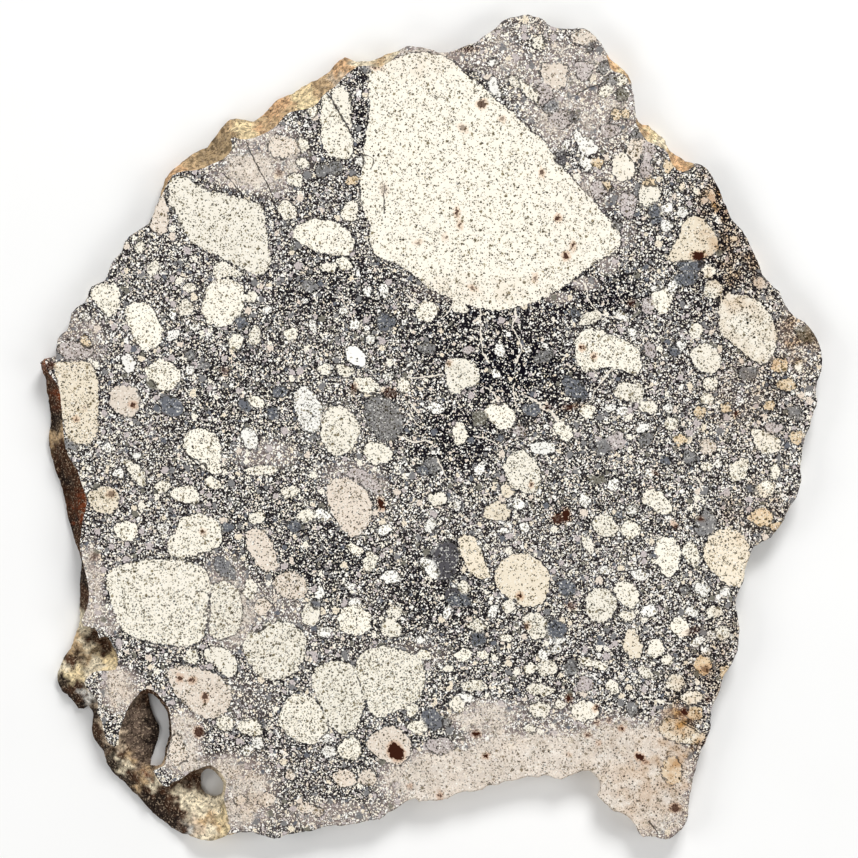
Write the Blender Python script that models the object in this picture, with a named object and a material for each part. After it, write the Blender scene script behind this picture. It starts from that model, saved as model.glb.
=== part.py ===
"""A slice of a lunar meteorite: one flat sawn slab of breccia, lying on its sawn back.

The outlines were read by hand on a drawing grid of 0.2 mm steps, counted across to the right and
down from the sheet's top left corner. Where the slab keeps its natural outside, that outside
slopes from the edge of the sawn face down to a lower rim. Elsewhere the edge is a steep break.
"""

import bpy
import numpy as np
from mathutils import Vector, noise
from mathutils.geometry import delaunay_2d_cdt

MM = 0.001
GRID_STEP = 0.2 * MM
SHEET_CENTRE = (431.0, 428.0)

THICKNESS = 6.0 * MM
STATION_GAP = 1.2 * MM  # spacing of the stations along every outline
BAND_GAP = 1.05 * MM  # spacing of the points on the natural outside
CLEAR_OF_EDGE = 0.55 * MM  # those points keep this far from the outlines
BEVEL = 0.26 * MM  # worn edge of the sawn face
BREAK_RIM = THICKNESS - 0.35 * MM  # height of the rim where the edge is a break
LOWEST = 0.5 * MM  # the natural outside never comes nearer to the back than this

OUTLINE_ROUGHNESS = 0.07 * MM
BREAK_ROUGHNESS = 0.13 * MM  # the pale fresh break along the bottom is more ragged
OUTLINE_GRAIN = 2.0 * MM  # length of one bump along the outline

WALL_ROWS = 4
HOLE_ROWS = 3
WALL_ROUGHNESS = 0.75 * MM  # depth of the hollows in a full-height wall
WALL_GRAIN = 2.6 * MM
ROW_WAVER = 0.1  # share of the wall's height by which its rows rise and fall
ROW_GRAIN = 3.0 * MM
BACK_INSET = 0.3 * MM  # worn edge of the sawn back
LOW_WALL_INSET = 0.6  # share of it that a wall of no height would still have
BACK_HOLLOWS = 0.4  # share of the wall's hollows that reaches the edge of the back

ROW_CLOSENESS = 0.87  # rows to columns of a triangular grid
JITTER = 0.2 * BAND_GAP
JITTER_GRAIN = 1.3 * MM
REACH = 9.0 * MM  # how far one known height has a say in the natural outside
KNOWN_HEIGHT_SAY = 3.0  # a hand-read height counts as much as this many outline points
NEARNESS_POWER = 2.4
NEAREST = 0.1 * MM
BAND_ROUGHNESS = 0.55 * MM
FINE_BUMPS = (0.65, 2.2 * MM)  # share of the roughness, length of one bump
COARSE_BUMPS = (0.35, 5.5 * MM)
FADE_WIDTH = 1.6 * MM  # the roughness fades to FADE_LEAST this near to an outline
FADE_LEAST = 0.25
BELOW_FACE = 0.12 * MM  # the natural outside stays this far below the sawn face

CURVE_TENSION = 0.4
CURVE_STEPS = 12
NOISE_SMOOTHNESS = 0.9
NOISE_STEP = 2.1
NOISE_LAYERS = 3
SEED_SHIFT = 17.3  # moves every noise pattern, and so acts as the seed
JOIN_WITHIN = 1e-5  # in mm: outline points nearer than this would be joined

ROCK_COLOUR = (0.56, 0.53, 0.49, 1.0)
ROCK_ROUGHNESS = 0.82

# Steep stretches of the outline, clockwise from the spike at the left: (across, down).
UPPER_LEFT_BREAK = (
    (40, 363), (44, 359), (50, 357), (55.5, 356), (56, 349), (56, 341), (59, 336), (64, 332.5),
    (68, 328), (70, 319), (72, 311), (77, 307.5), (83, 304), (87, 299), (88.5, 291), (92, 286.5),
    (98, 283.5), (105, 281), (107, 275), (110, 266), (114, 259.5), (120, 254), (123, 248),
    (125, 241), (130, 236), (138, 230), (146, 226), (150, 220), (154, 213), (156, 205),
)
TOP_BREAK = (
    (404, 47.3), (410, 46), (418, 46.6), (426, 47.8), (432, 50.5), (439, 52.5), (448, 52.5),
    (455, 49.6), (463, 47.5), (470, 44), (478, 40.5), (486, 35), (494, 29), (501, 22.5),
    (508, 18), (518, 16), (528, 15), (535, 17), (543, 19.6), (549, 25), (557, 28), (568, 29.2),
    (580, 27.6), (588, 29.5), (593, 34), (600, 42), (604.5, 49),
)
SHORT_RIGHT_BREAK = ((631, 82), (633.5, 95), (635, 106))
RIGHT_BREAK = (
    (703, 165.5), (709, 170.5), (714, 179), (719, 188), (722.5, 198), (727, 208.5), (731, 218),
    (738, 226), (745, 234), (750, 244), (755, 256), (760, 267), (766, 279), (773, 286),
    (780.5, 293), (784, 302), (789, 312), (797, 319), (805, 322.5), (811, 329), (817, 338.5),
    (820, 349), (822.5, 360), (821, 371), (818, 381), (815.5, 390), (817.5, 401), (814.5, 411),
    (810.5, 423), (806, 435), (802.5, 446), (801, 460), (800, 471), (801, 481), (799, 490),
    (794, 501), (787.5, 511), (782, 523), (775, 532), (768, 540), (758, 544), (752, 548.5),
    (749, 559), (745, 569), (744, 580), (739.5, 589), (736, 598), (735.5, 607), (738, 618),
    (739, 630), (738.5, 643), (736.5, 653), (731, 665), (723, 677.5), (720, 689), (715.5, 700),
    (710.8, 709), (711, 719), (709.5, 729), (706, 740), (700, 753), (696, 766), (693, 779.5),
    (691, 791), (688.5, 801), (688, 812), (687, 821), (683, 829), (675, 834.5), (669, 839.5),
    (662, 840), (655, 836), (648, 836.5), (642, 837), (637, 829), (631, 819.5), (625, 814),
    (615, 811.5), (608, 806.5), (602, 800), (597, 796), (599.5, 790), (600.5, 784), (597, 776.5),
)
BOTTOM_BREAK = (
    (591, 771.5), (583, 771), (575, 774), (567, 777.5), (560, 780), (553, 778.5), (547, 775),
    (541, 776), (536, 778.5), (530, 776), (522, 778), (513, 781), (505, 781.5), (497, 785),
    (488, 786), (481, 789.5), (473, 792), (463, 791.5), (455, 795.5), (446, 799), (436, 800.5),
    (427, 800.5), (420, 803.7), (417, 800.5), (413, 798), (406, 802.5), (397, 808), (389, 812.5),
    (380, 819), (369, 820.5), (359, 823), (348, 824.5), (336, 825.5), (326, 826.5), (317, 829.5),
    (306, 832), (295, 833.5), (284, 836), (277, 839), (269, 838), (261, 835), (251, 832.5),
    (241, 832.5), (232, 834.5),
)

# Natural stretches of the rim: (across, down, rim height in mm).
LEDGE_RIM = (
    (160, 197, 5.4), (161.5, 189, 4.2), (164.5, 180, 2.8), (168, 174, 1.8), (173, 167, 1.2),
    (180, 162, 1.0), (186, 157.5, 1.0), (192, 153, 1.1), (200, 149, 1.2), (207, 146, 1.1),
    (211, 139.5, 1.0), (216, 134.5, 1.0), (220, 128, 1.2), (226, 121.5, 1.5), (232, 118, 1.6),
    (240, 118.5, 1.4), (248, 120, 1.3), (254, 120.5, 1.3), (259, 117, 1.2), (265, 111.5, 1.0),
    (270, 106, 1.0), (274, 101, 1.0), (280, 97.5, 1.1), (285, 95, 1.2), (291, 93.5, 1.2),
    (297, 89, 1.2), (304, 84.5, 1.2), (310, 81, 1.3), (317, 79, 1.3), (324, 74.5, 1.2),
    (330, 70, 1.2), (334, 64.5, 1.3), (338, 60, 1.5), (344, 56.5, 1.9), (350, 58, 2.2),
    (356, 60.5, 3.2), (363, 61, 4.2), (370, 59.8, 3.6), (377, 58, 3.0), (384, 54.3, 2.8),
    (391, 52.5, 3.0), (398, 51, 4.2),
)
SMALL_CHIP_RIM = (
    (608, 55, 5.0), (611.5, 60, 4.0), (619, 65, 3.6), (626, 71, 4.2), (629, 76, 5.0),
)
LOWER_CHIP_RIM = (
    (636, 117, 5.2), (640, 124, 3.8), (649, 125, 3.2), (654, 130, 2.9), (661, 135.5, 3.0),
    (665, 139, 3.4), (667.5, 146, 4.4), (670.5, 151.5, 4.6), (676, 155.5, 3.2),
    (682, 157.5, 2.8), (685, 161, 3.2), (694, 162.8, 4.6),
)
CAVITY_RIM = (
    (222, 838, 5.0), (212, 841, 4.3), (203, 840, 3.9), (195, 839, 3.4), (189, 835.5, 2.6),
    (182, 834.5, 1.6), (174, 831, 1.1), (167, 826, 0.9), (160, 820, 0.9), (152, 814, 0.8),
    (146, 808, 0.8), (141, 801, 1.0), (136, 796, 1.2), (130, 791, 1.2), (126, 785.5, 0.9),
    (120, 781, 0.9), (114, 775.5, 1.0), (109, 770, 1.2), (105.5, 762, 1.3), (103, 754, 1.2),
    (99, 747, 1.2), (94, 739.5, 1.3), (90.5, 731, 1.3), (91.5, 723, 1.4), (92.5, 716, 1.3),
    (90.5, 710, 1.1), (87, 706, 0.9), (81, 710.5, 1.0), (76, 708, 1.0), (72, 702, 1.0),
    (67, 696.5, 1.1), (61, 691.5, 1.2), (57, 685, 1.3), (55.5, 678, 1.6), (58, 671, 1.5),
    (60, 664, 1.4), (63, 658, 1.4), (67, 652.5, 1.5), (71, 647.5, 1.8), (72.5, 641, 2.0),
    (75, 634, 1.9), (78, 626, 1.6),
)
LEFT_RIM = (
    (79, 618, 1.5), (79, 607, 1.5), (79, 597, 1.4), (78.5, 586, 1.3), (79, 576, 1.5),
    (80.3, 567, 2.2), (80, 559, 2.8), (77, 550, 2.6), (73.5, 540, 1.8), (70.5, 529, 1.3),
    (67, 518, 1.1), (65, 508, 1.0), (63, 496, 0.9), (59, 483, 0.9), (55, 471, 0.9),
    (51, 459, 1.0), (48.5, 447, 1.3), (47.5, 435, 1.6), (50, 425, 1.2), (49.5, 414, 0.9),
    (47.5, 402, 0.8), (45.5, 391, 0.8), (44.5, 381, 1.0), (42, 371, 2.6),
)

# The edge of the sawn face beside each natural stretch, in the same direction: (across, down).
LEDGE_FACE = (
    (163.5, 191), (167.5, 183.5), (171, 177), (177, 172.7), (186, 171), (196, 170), (205, 167.5),
    (213, 163.5), (221, 160.5), (228, 155), (232.5, 148), (231, 141.5), (231.5, 135.8),
    (236, 138.3), (243, 139.6), (250, 138.7), (257, 136.7), (264, 133.5), (271, 130), (277, 125),
    (282, 119), (288, 113.2), (296, 110.6), (304, 109.5), (311, 107.5), (317, 104), (321, 97.5),
    (328, 91), (335, 86.5), (340.5, 80.5), (346, 74.5), (351, 70.5), (357, 66.8), (364, 65.6),
    (372, 65.6), (378, 68), (384, 64.8), (391, 61), (395, 56.8), (400, 52.6),
)
SMALL_CHIP_FACE = ((606.5, 56.5), (609, 63), (611, 70), (618, 72.5), (624.5, 74.5), (628, 79.5))
LOWER_CHIP_FACE = (
    (635, 120), (638, 127.5), (642, 134), (646, 140), (653, 144), (661, 147), (667, 152),
    (670.5, 160), (674, 167), (680, 171.5), (687, 171), (693, 166.5),
)
CAVITY_FACE = (
    (230.5, 829), (229, 821), (227, 813), (225.5, 805), (224, 798), (225.5, 790), (226.3, 781.5),
    (221.7, 773.7), (215, 767.6), (208.5, 765), (200, 768.6), (192, 771), (186, 775),
    (180.5, 779.5), (173, 782), (168, 787), (163, 785.5), (158.5, 780.5), (155, 774.5),
    (153.5, 770), (158.8, 768.4), (164.7, 764.3), (167, 754.5), (168, 746.8), (171.3, 740),
    (171.8, 731.3), (170.4, 718.3), (168.8, 708.4), (161.3, 698.2), (153, 690.2), (146, 688.6),
    (141, 691), (137, 696), (131, 703), (127, 710), (124, 718), (121, 726), (118.5, 734),
    (119, 741), (117.5, 747), (112, 746), (107, 741), (104.5, 734), (102.5, 727), (101.5, 719.5),
    (98, 714), (95.5, 709), (99, 704.5), (96.5, 699), (92, 694), (87, 688.5), (83.5, 683.5),
    (87, 677.5), (93, 672.3), (101, 670.7), (110, 670.7), (116.5, 669), (118, 662), (117.5, 655),
    (114.8, 650), (112, 644), (109.5, 638.5), (105.5, 636), (102, 637.3), (100, 639.8),
    (97.8, 637.3), (98, 632), (95, 628.3), (89.5, 626.8), (85.5, 628),
)
LEFT_FACE = (
    (81.5, 621.5), (84.5, 614), (87.8, 605), (89, 593), (87.5, 581), (84.5, 570), (82.8, 560.5),
    (80.5, 552), (79.8, 543.5), (81, 535), (82, 527), (83.2, 518), (86, 508), (86.8, 499),
    (83.8, 489.5), (80.3, 480), (77.8, 471), (71.8, 462), (66.8, 452), (64.2, 441), (63.2, 429),
    (62.2, 416), (61, 403), (59.7, 391), (56, 383), (51, 375.5), (46.5, 369),
)

# Two cavities reach the back. Rim of each opening: (across, down, rim height in mm).
LARGE_OPENING = (
    (147.5, 692.5, 5.0), (152, 693.2, 5.4), (159, 701, 5.6), (166, 710, 5.6), (168, 719, 5.6),
    (169.3, 731.5, 5.6), (168.8, 739, 5.6), (165.8, 745.5, 5.6), (164.7, 754, 5.6),
    (162.5, 762.5, 5.6), (158, 765.8, 5.4), (151, 766, 4.2), (149.5, 762, 1.0),
    (152, 754.5, 0.6), (154.5, 747, 0.6), (157, 740, 0.6), (158.5, 732, 0.6),
    (157, 725, 0.6), (153.5, 718, 0.7), (150.5, 711, 0.8), (148.5, 703, 1.2),
)
SMALL_OPENING = (
    (201.5, 772.3, 5.0), (208.3, 768.3, 5.6), (214, 771, 5.6), (219.3, 776.3, 5.6),
    (223.3, 782.3, 5.6), (223, 790, 5.4), (220, 795.5, 3.4), (215, 797, 1.6), (209, 796.5, 0.9),
    (204, 794, 0.8), (201, 789, 0.8), (200, 782, 1.2), (200.2, 776.5, 3.0),
)

# Known heights on the lumps, hollows and slopes of the lower left: (across, down, height in mm).
UPPER_CAVITY = (
    (90, 633, 1.9), (94, 636, 1.6), (92, 641, 1.9), (104, 641, 1.9), (108, 646, 1.8),
    (111, 653, 2.4), (103, 650, 1.4), (97, 652, 1.3), (88, 655, 1.2), (80, 657, 1.2),
    (72, 660, 1.3), (66, 662, 1.6), (84, 650, 3.2), (79, 652, 2.9), (77, 637, 3.9),
    (82, 640, 3.7), (80, 645, 3.3), (70, 671, 2.9), (80, 671, 3.1), (92, 663, 2.9),
    (104, 660, 3.1), (111, 664, 4.5), (99, 666, 4.3), (88, 669, 4.2), (76, 679, 4.5),
    (66, 676, 3.7), (62, 669, 2.7),
)
OUTER_LUMPS = (
    (70, 687, 3.6), (79, 689, 3.0), (88, 698, 4.3), (83, 696, 3.9), (86, 703, 1.6),
    (92, 704, 2.4), (77, 703, 2.2), (95, 721, 3.0), (97, 732, 3.3), (102, 741, 3.6),
    (108, 750, 3.8), (112, 752, 2.5), (117, 758, 4.5), (124, 765, 4.0), (119, 772, 2.2),
    (130, 772, 4.3), (128, 780, 2.6), (140, 792, 2.5), (147, 798, 3.6), (153, 797, 2.4),
    (159, 801, 2.9), (151, 806, 1.7), (163, 813, 2.0), (171, 822, 1.9),
)
MIDDLE_SLOPE = (
    (129, 716, 4.6), (134, 710, 3.7), (139, 704, 2.6), (144, 699, 1.6), (127, 728, 4.4),
    (134, 727, 3.2), (142, 726, 2.2), (150, 725, 1.2), (125, 740, 4.3), (132, 741, 3.1),
    (140, 743, 2.2), (148, 744, 1.2), (127, 753, 3.7), (135, 756, 2.7), (139, 753, 3.3),
    (143, 760, 1.8), (137, 762, 2.7),
)
DIVIDING_RIDGE = (
    (139, 771, 4.3), (147, 775, 5.0), (150, 782, 4.7), (140, 783, 4.0), (157, 789, 4.5),
    (164, 796, 4.6), (170, 805, 4.2), (176, 813, 3.8), (182, 821, 3.4), (186, 828, 2.9),
)
LOWER_SLOPE = (
    (175, 787, 2.4), (184, 783, 1.7), (191, 779, 1.4), (195, 786, 1.5), (186, 790, 2.4),
    (177, 795, 3.7), (190, 799, 2.7), (187, 809, 3.5), (192, 820, 3.8), (204, 800, 1.5),
    (204, 809, 2.4), (205, 819, 3.2), (204, 830, 3.9), (214, 804, 2.6), (217, 813, 3.7),
    (220, 823, 4.6), (213, 829, 4.4),
)


def to_metres(points):
    """Grid steps to metres about the sheet's centre, with a third column of heights in mm."""
    points = np.asarray(points, dtype=float)
    across = (points[:, 0] - SHEET_CENTRE[0]) * GRID_STEP
    up = (SHEET_CENTRE[1] - points[:, 1]) * GRID_STEP
    height = points[:, 2] * MM if points.shape[1] > 2 else np.full(len(points), BREAK_RIM)
    return np.column_stack([across, up, height])


def noise_at(points, size, layer):
    """Smooth seeded noise from -1 to 1 at each point, with features of the given size."""
    shift = SEED_SHIFT * (layer + 1)
    spots = [Vector((x / size + shift, y / size, z / size)) for x, y, z in points]
    return np.array([noise.fractal(spot, NOISE_SMOOTHNESS, NOISE_STEP, NOISE_LAYERS)
                     for spot in spots])


def curve_through(points, gap, is_closed):
    """Even stations along a smooth curve through the given points."""
    if is_closed:
        points = np.vstack([points[-1:], points, points[:2]])
    else:
        points = np.vstack([2 * points[:1] - points[1:2], points, 2 * points[-1:] - points[-2:-1]])
    slope = CURVE_TENSION * (points[2:] - points[:-2])
    start, end = points[1:-2], points[2:-1]
    share = np.linspace(0.0, 1.0, CURVE_STEPS, endpoint=False)[:, None, None]
    fine = ((1 + 2 * share) * (1 - share) ** 2 * start + share * (1 - share) ** 2 * slope[:-1]
            + share ** 2 * (3 - 2 * share) * end + share ** 2 * (share - 1) * slope[1:])
    fine = fine.transpose(1, 0, 2).reshape(-1, points.shape[1])
    fine = np.vstack([fine, end[-1:]])
    travelled = np.insert(np.cumsum(np.hypot(*np.diff(fine[:, :2], axis=0).T)), 0, 0.0)
    count = max(2, round(travelled[-1] / gap))
    stations = np.linspace(0.0, travelled[-1], count + 1)
    even = np.column_stack([np.interp(stations, travelled, column) for column in fine.T])
    return even[:-1] if is_closed else even


def outward_normals(loop):
    """Unit normals that point away from the inside of a clockwise loop."""
    along = np.roll(loop[:, :2], -1, axis=0) - np.roll(loop[:, :2], 1, axis=0)
    normals = np.column_stack([-along[:, 1], along[:, 0]])
    normals = normals / np.linalg.norm(normals, axis=1)[:, None]
    smooth = normals + 0.5 * (np.roll(normals, 1, axis=0) + np.roll(normals, -1, axis=0))
    return smooth / np.linalg.norm(smooth, axis=1)[:, None]


def nearest_station(loop, point):
    return int(np.argmin(np.hypot(*(loop[:, :2] - point[:2]).T)))


def rim_loop():
    """The outermost line of the slab, slightly roughened, with its height at each station."""
    stretches = (UPPER_LEFT_BREAK, LEDGE_RIM, TOP_BREAK, SMALL_CHIP_RIM, SHORT_RIGHT_BREAK,
                 LOWER_CHIP_RIM, RIGHT_BREAK, BOTTOM_BREAK, CAVITY_RIM, LEFT_RIM)
    loop = curve_through(np.vstack([to_metres(s) for s in stretches]), STATION_GAP, True)
    bottom = to_metres(BOTTOM_BREAK)
    first, last = nearest_station(loop, bottom[0]), nearest_station(loop, bottom[-1])
    depth = np.full(len(loop), OUTLINE_ROUGHNESS)
    depth[first:last] = BREAK_ROUGHNESS
    loop[:, :2] += outward_normals(loop) * (depth * noise_at(loop, OUTLINE_GRAIN, 0))[:, None]
    return loop


def face_loop(rim):
    """The edge of the sawn face: just inside the rim at a break, hand-read where it's natural."""
    inside = rim.copy()
    inside[:, :2] -= outward_normals(rim) * BEVEL
    natural = ((LEDGE_RIM, LEDGE_FACE), (SMALL_CHIP_RIM, SMALL_CHIP_FACE),
               (LOWER_CHIP_RIM, LOWER_CHIP_FACE), (CAVITY_RIM + LEFT_RIM, CAVITY_FACE + LEFT_FACE))
    pieces = []
    reached = 1
    for rim_points, face_points in natural:
        ends = to_metres(rim_points)
        first, last = nearest_station(rim, ends[0]), nearest_station(rim, ends[-1])
        pieces.append(inside[reached:first])
        pieces.append(curve_through(to_metres(face_points), STATION_GAP, False))
        reached = last + 2
    loop = np.vstack(pieces)
    loop[:, 2] = THICKNESS
    return loop


def inside_loop(points, loop):
    """True for each point inside the loop."""
    x, y = points[:, 0:1], points[:, 1:2]
    x1, y1 = loop[:, 0], loop[:, 1]
    x2, y2 = np.roll(x1, -1), np.roll(y1, -1)
    spans = (y1 > y) != (y2 > y)
    rise = np.where(y2 == y1, 1.0, y2 - y1)
    crossings = spans & (x < (x2 - x1) * (y - y1) / rise + x1)
    return crossings.sum(axis=1) % 2 == 1


def distance_to(points, loop):
    """Distance in plan from each point to the nearest side of the loop."""
    start = loop[:, :2]
    side = np.roll(start, -1, axis=0) - start
    offset = points[:, None, :2] - start
    share = np.clip((offset * side).sum(axis=2) / (side ** 2).sum(axis=1), 0.0, 1.0)
    return np.linalg.norm(offset - share[:, :, None] * side, axis=2).min(axis=1)


def natural_points(rim, face, openings):
    """Points on the natural outside, on a jittered grid between the face's edge and the rim."""
    low, high = rim[:, :2].min(axis=0), rim[:, :2].max(axis=0)
    columns = np.arange(low[0], high[0], BAND_GAP)
    rows = np.arange(low[1], high[1], BAND_GAP * ROW_CLOSENESS)
    grid_x, grid_y = np.meshgrid(columns, rows)
    grid_x[1::2] += BAND_GAP / 2
    points = np.column_stack([grid_x.ravel(), grid_y.ravel(), np.zeros(grid_x.size)])
    points[:, 0] += JITTER * noise_at(points, JITTER_GRAIN, 1)
    points[:, 1] += JITTER * noise_at(points, JITTER_GRAIN, 2)
    points = points[inside_loop(points, rim) & ~inside_loop(points, face)]
    for opening in openings:
        points = points[~inside_loop(points, opening)]
    for loop in (rim, face, *openings):
        points = points[distance_to(points, loop) > CLEAR_OF_EDGE]
    known = np.vstack([rim, face, *openings] + [to_metres(heights) for heights in (
        UPPER_CAVITY, OUTER_LUMPS, MIDDLE_SLOPE, DIVIDING_RIDGE, LOWER_SLOPE)])
    spots = len(known) - len(rim) - len(face) - sum(len(opening) for opening in openings)
    say = np.ones(len(known))
    say[-spots:] = KNOWN_HEIGHT_SAY
    away = np.linalg.norm(points[:, None, :2] - known[:, :2], axis=2)
    nearness = np.clip(1.0 - away / REACH, 0.0, None) / np.maximum(away, NEAREST)
    weight = say * nearness ** NEARNESS_POWER
    points[:, 2] = (weight * known[:, 2]).sum(axis=1) / weight.sum(axis=1)
    fade = np.minimum(distance_to(points, face), distance_to(points, rim)) / FADE_WIDTH
    bumps = sum(share * noise_at(points, size, 3 + number)
                for number, (share, size) in enumerate((FINE_BUMPS, COARSE_BUMPS)))
    points[:, 2] += BAND_ROUGHNESS * bumps * np.clip(fade, FADE_LEAST, 1.0)
    points[:, 2] = np.clip(points[:, 2], LOWEST, THICKNESS - BELOW_FACE)
    return points


def triangles_between(points, loops, holes):
    """Triangles over the points that lie inside the first loop and outside the holes."""
    sides = []
    for first, count in loops:
        sides += [(first + i, first + (i + 1) % count) for i in range(count)]
    flat = [Vector(point[:2] / MM) for point in points]
    spots, _, faces, _, _, _ = delaunay_2d_cdt(flat, sides, [], 0, JOIN_WITHIN)
    if len(spots) != len(points):
        raise ValueError("two outlines cross or touch")
    faces = np.array(faces)
    middle = points[faces].mean(axis=1)
    outer_first, outer_count = loops[0]
    keep = inside_loop(middle, points[outer_first:outer_first + outer_count])
    for first, count in holes:
        keep &= ~inside_loop(middle, points[first:first + count])
    return faces[keep]


def wall_rows(loop, rows, layer, outward):
    """Rows of points from a top loop down to the back, hollowed at random into the rock."""
    into_rock = -outward_normals(loop) if outward else outward_normals(loop)
    full = loop[:, 2] / THICKNESS
    made = []
    for row in range(1, rows + 1):
        share = row / rows
        level = loop.copy()
        level[:, 2] = loop[:, 2] * (1 - share)
        hollow = 0.5 + 0.5 * noise_at(level + row * MM, WALL_GRAIN, layer)
        depth = WALL_ROUGHNESS * np.clip(hollow, 0.0, 1.0) * full
        if row == rows:
            inset = LOW_WALL_INSET + (1 - LOW_WALL_INSET) * full
            depth = BACK_INSET * inset + BACK_HOLLOWS * depth
        else:
            level[:, 2] += ROW_WAVER * loop[:, 2] * noise_at(level, ROW_GRAIN, layer + 1)
        level[:, :2] += into_rock * depth[:, None]
        made.append(level)
    return made


def slab_mesh():
    """All points and triangles of the slab."""
    rim = rim_loop()
    face = face_loop(rim)
    openings = [curve_through(to_metres(points), STATION_GAP, True)
                for points in (LARGE_OPENING, SMALL_OPENING)]
    natural = natural_points(rim, face, openings)
    top = np.vstack([rim, face, *openings, natural])
    starts = np.cumsum([0, len(rim), len(face), len(openings[0]), len(openings[1])])
    loops = [(int(starts[i]), int(starts[i + 1] - starts[i])) for i in range(4)]
    points = [top]
    triangles = [triangles_between(top, loops, loops[2:])]
    total = len(top)
    back_loops = []
    for number, (first, count) in enumerate((loops[0], loops[2], loops[3])):
        is_rim = number == 0
        above = first + np.arange(count)
        rows = wall_rows(top[above], WALL_ROWS if is_rim else HOLE_ROWS, 10 * (number + 1), is_rim)
        for level in rows:
            below = total + np.arange(count)
            after_above, after_below = np.roll(above, -1), np.roll(below, -1)
            strip = np.vstack([np.column_stack([above, after_above, below]),
                               np.column_stack([after_above, after_below, below])])
            triangles.append(strip if is_rim else strip[:, ::-1])
            points.append(level)
            total += count
            above = below
        back_loops.append((int(above[0]), count))
    points = np.vstack(points)
    back = np.vstack([points[first:first + count] for first, count in back_loops])
    counts = [count for _, count in back_loops]
    begins = np.cumsum([0] + counts)
    local = [(int(begins[i]), counts[i]) for i in range(3)]
    where = np.concatenate([first + np.arange(count) for first, count in back_loops])
    triangles.append(where[triangles_between(back, local, local[1:])][:, ::-1])
    return points, np.vstack(triangles)


def clear_scene():
    for obj in list(bpy.data.objects):
        bpy.data.objects.remove(obj, do_unlink=True)


def rock_material():
    material = bpy.data.materials.new("lunar_breccia")
    material.use_nodes = True
    shader = material.node_tree.nodes["Principled BSDF"]
    shader.inputs["Base Color"].default_value = ROCK_COLOUR
    shader.inputs["Roughness"].default_value = ROCK_ROUGHNESS
    shader.inputs["Metallic"].default_value = 0.0
    material.diffuse_color = ROCK_COLOUR
    return material


def main():
    clear_scene()
    points, triangles = slab_mesh()
    middle = (points.min(axis=0) + points.max(axis=0)) / 2
    points[:, :2] -= middle[:2]
    mesh = bpy.data.meshes.new("meteorite_slice")
    mesh.from_pydata(points.tolist(), [], triangles.tolist())
    mesh.materials.append(rock_material())
    mesh.update()
    slab = bpy.data.objects.new("meteorite_slice", mesh)
    bpy.context.scene.collection.objects.link(slab)


main()
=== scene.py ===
"""The looks of one sawn slice of lunar breccia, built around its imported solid.

Readings of the sawn face are in steps of a drawing sheet, 0.2 mm each, counted across to the right
and down from its top left corner. Lengths are millimetres, and become metres when a mesh is made. Only
the studio, its floor and what a name says are in metres.
"""

import logging
from dataclasses import dataclass, field
from enum import Enum
from typing import Any, Sequence

import bmesh
import bpy
import numpy as np
from mathutils import Matrix, Vector, kdtree
from mathutils.geometry import delaunay_2d_cdt


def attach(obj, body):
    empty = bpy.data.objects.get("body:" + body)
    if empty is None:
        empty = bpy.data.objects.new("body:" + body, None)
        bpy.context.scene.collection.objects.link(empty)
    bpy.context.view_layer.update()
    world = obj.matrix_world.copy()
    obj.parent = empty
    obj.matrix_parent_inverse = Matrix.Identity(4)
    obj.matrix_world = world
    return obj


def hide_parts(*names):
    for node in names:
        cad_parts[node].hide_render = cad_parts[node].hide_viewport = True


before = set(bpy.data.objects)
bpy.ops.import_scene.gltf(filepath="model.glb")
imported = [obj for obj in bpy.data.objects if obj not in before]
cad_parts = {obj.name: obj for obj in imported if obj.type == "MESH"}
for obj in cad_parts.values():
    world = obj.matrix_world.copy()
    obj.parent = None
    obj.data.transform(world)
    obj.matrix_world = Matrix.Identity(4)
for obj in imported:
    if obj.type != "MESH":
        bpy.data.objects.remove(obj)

log = logging.getLogger("lunar_slice")

MM = 0.001
SEED = 29
NODE = "meteorite_slice"
MID_NOISE = (0.5, 0.5, 0.5)

Readings = Sequence[Sequence[float]]
Linear = tuple[float, float, float, float]


def linear(red: float, green: float, blue: float) -> Linear:
    """A colour in the shader's linear values.

    Args:
        red, green, blue: the colour as a screen shows it, 0 to 255.

    Returns:
        The same colour in linear light, with full alpha.
    """
    shares = np.array([red, green, blue], dtype=float) / 255.0
    light = np.where(shares <= 0.04045, shares / 12.92, ((shares + 0.055) / 1.055) ** 2.4)
    return (float(light[0]), float(light[1]), float(light[2]), 1.0)


class Tone(Enum):
    """Colours of the rock's fragments, 0 to 255 as a screen shows them."""

    WHITE = (251, 249, 243)
    CREAM = (250, 244, 229)
    BUFF = (240, 228, 206)
    TAN = (232, 210, 176)
    PINK = (233, 220, 205)
    LILAC = (200, 190, 188)
    GRAY = (132, 131, 131)
    OLIVE = (124, 121, 110)
    SLATE = (108, 111, 118)
    DARK = (84, 82, 86)


class Skin(Enum):
    """The parts of the slice's skin."""

    FACE = 0
    BACK = 1
    RIM = 2


class CrustAndPaintedLight(Enum):
    """Finishes of the natural outside, some of them painted light: colour 0 to 255, and how fully it
    covers the breccia.
    """

    BARE = (170, 160, 150, 0.0)
    TAN = (206, 176, 136, 0.92)
    DUSKY = (172, 148, 114, 0.92)
    # YELLOW is partly painted light: it is laid on slopes and lumps that face the key light.
    YELLOW = (246, 224, 178, 0.95)
    ORANGE = (226, 184, 140, 0.95)
    RUST = (112, 58, 34, 0.9)
    CREAM = (244, 230, 200, 0.9)
    BUFF = (222, 200, 172, 0.6)
    # WHITE is a painted highlight on lit lumps.
    WHITE = (246, 242, 232, 0.9)
    ASH = (106, 90, 78, 0.85)
    # BROWN and DARK are partly painted shade: they are laid in shadowed hollows, under lumps and round
    # the openings.
    BROWN = (74, 50, 36, 0.93)
    DARK = (48, 38, 33, 0.95)


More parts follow.
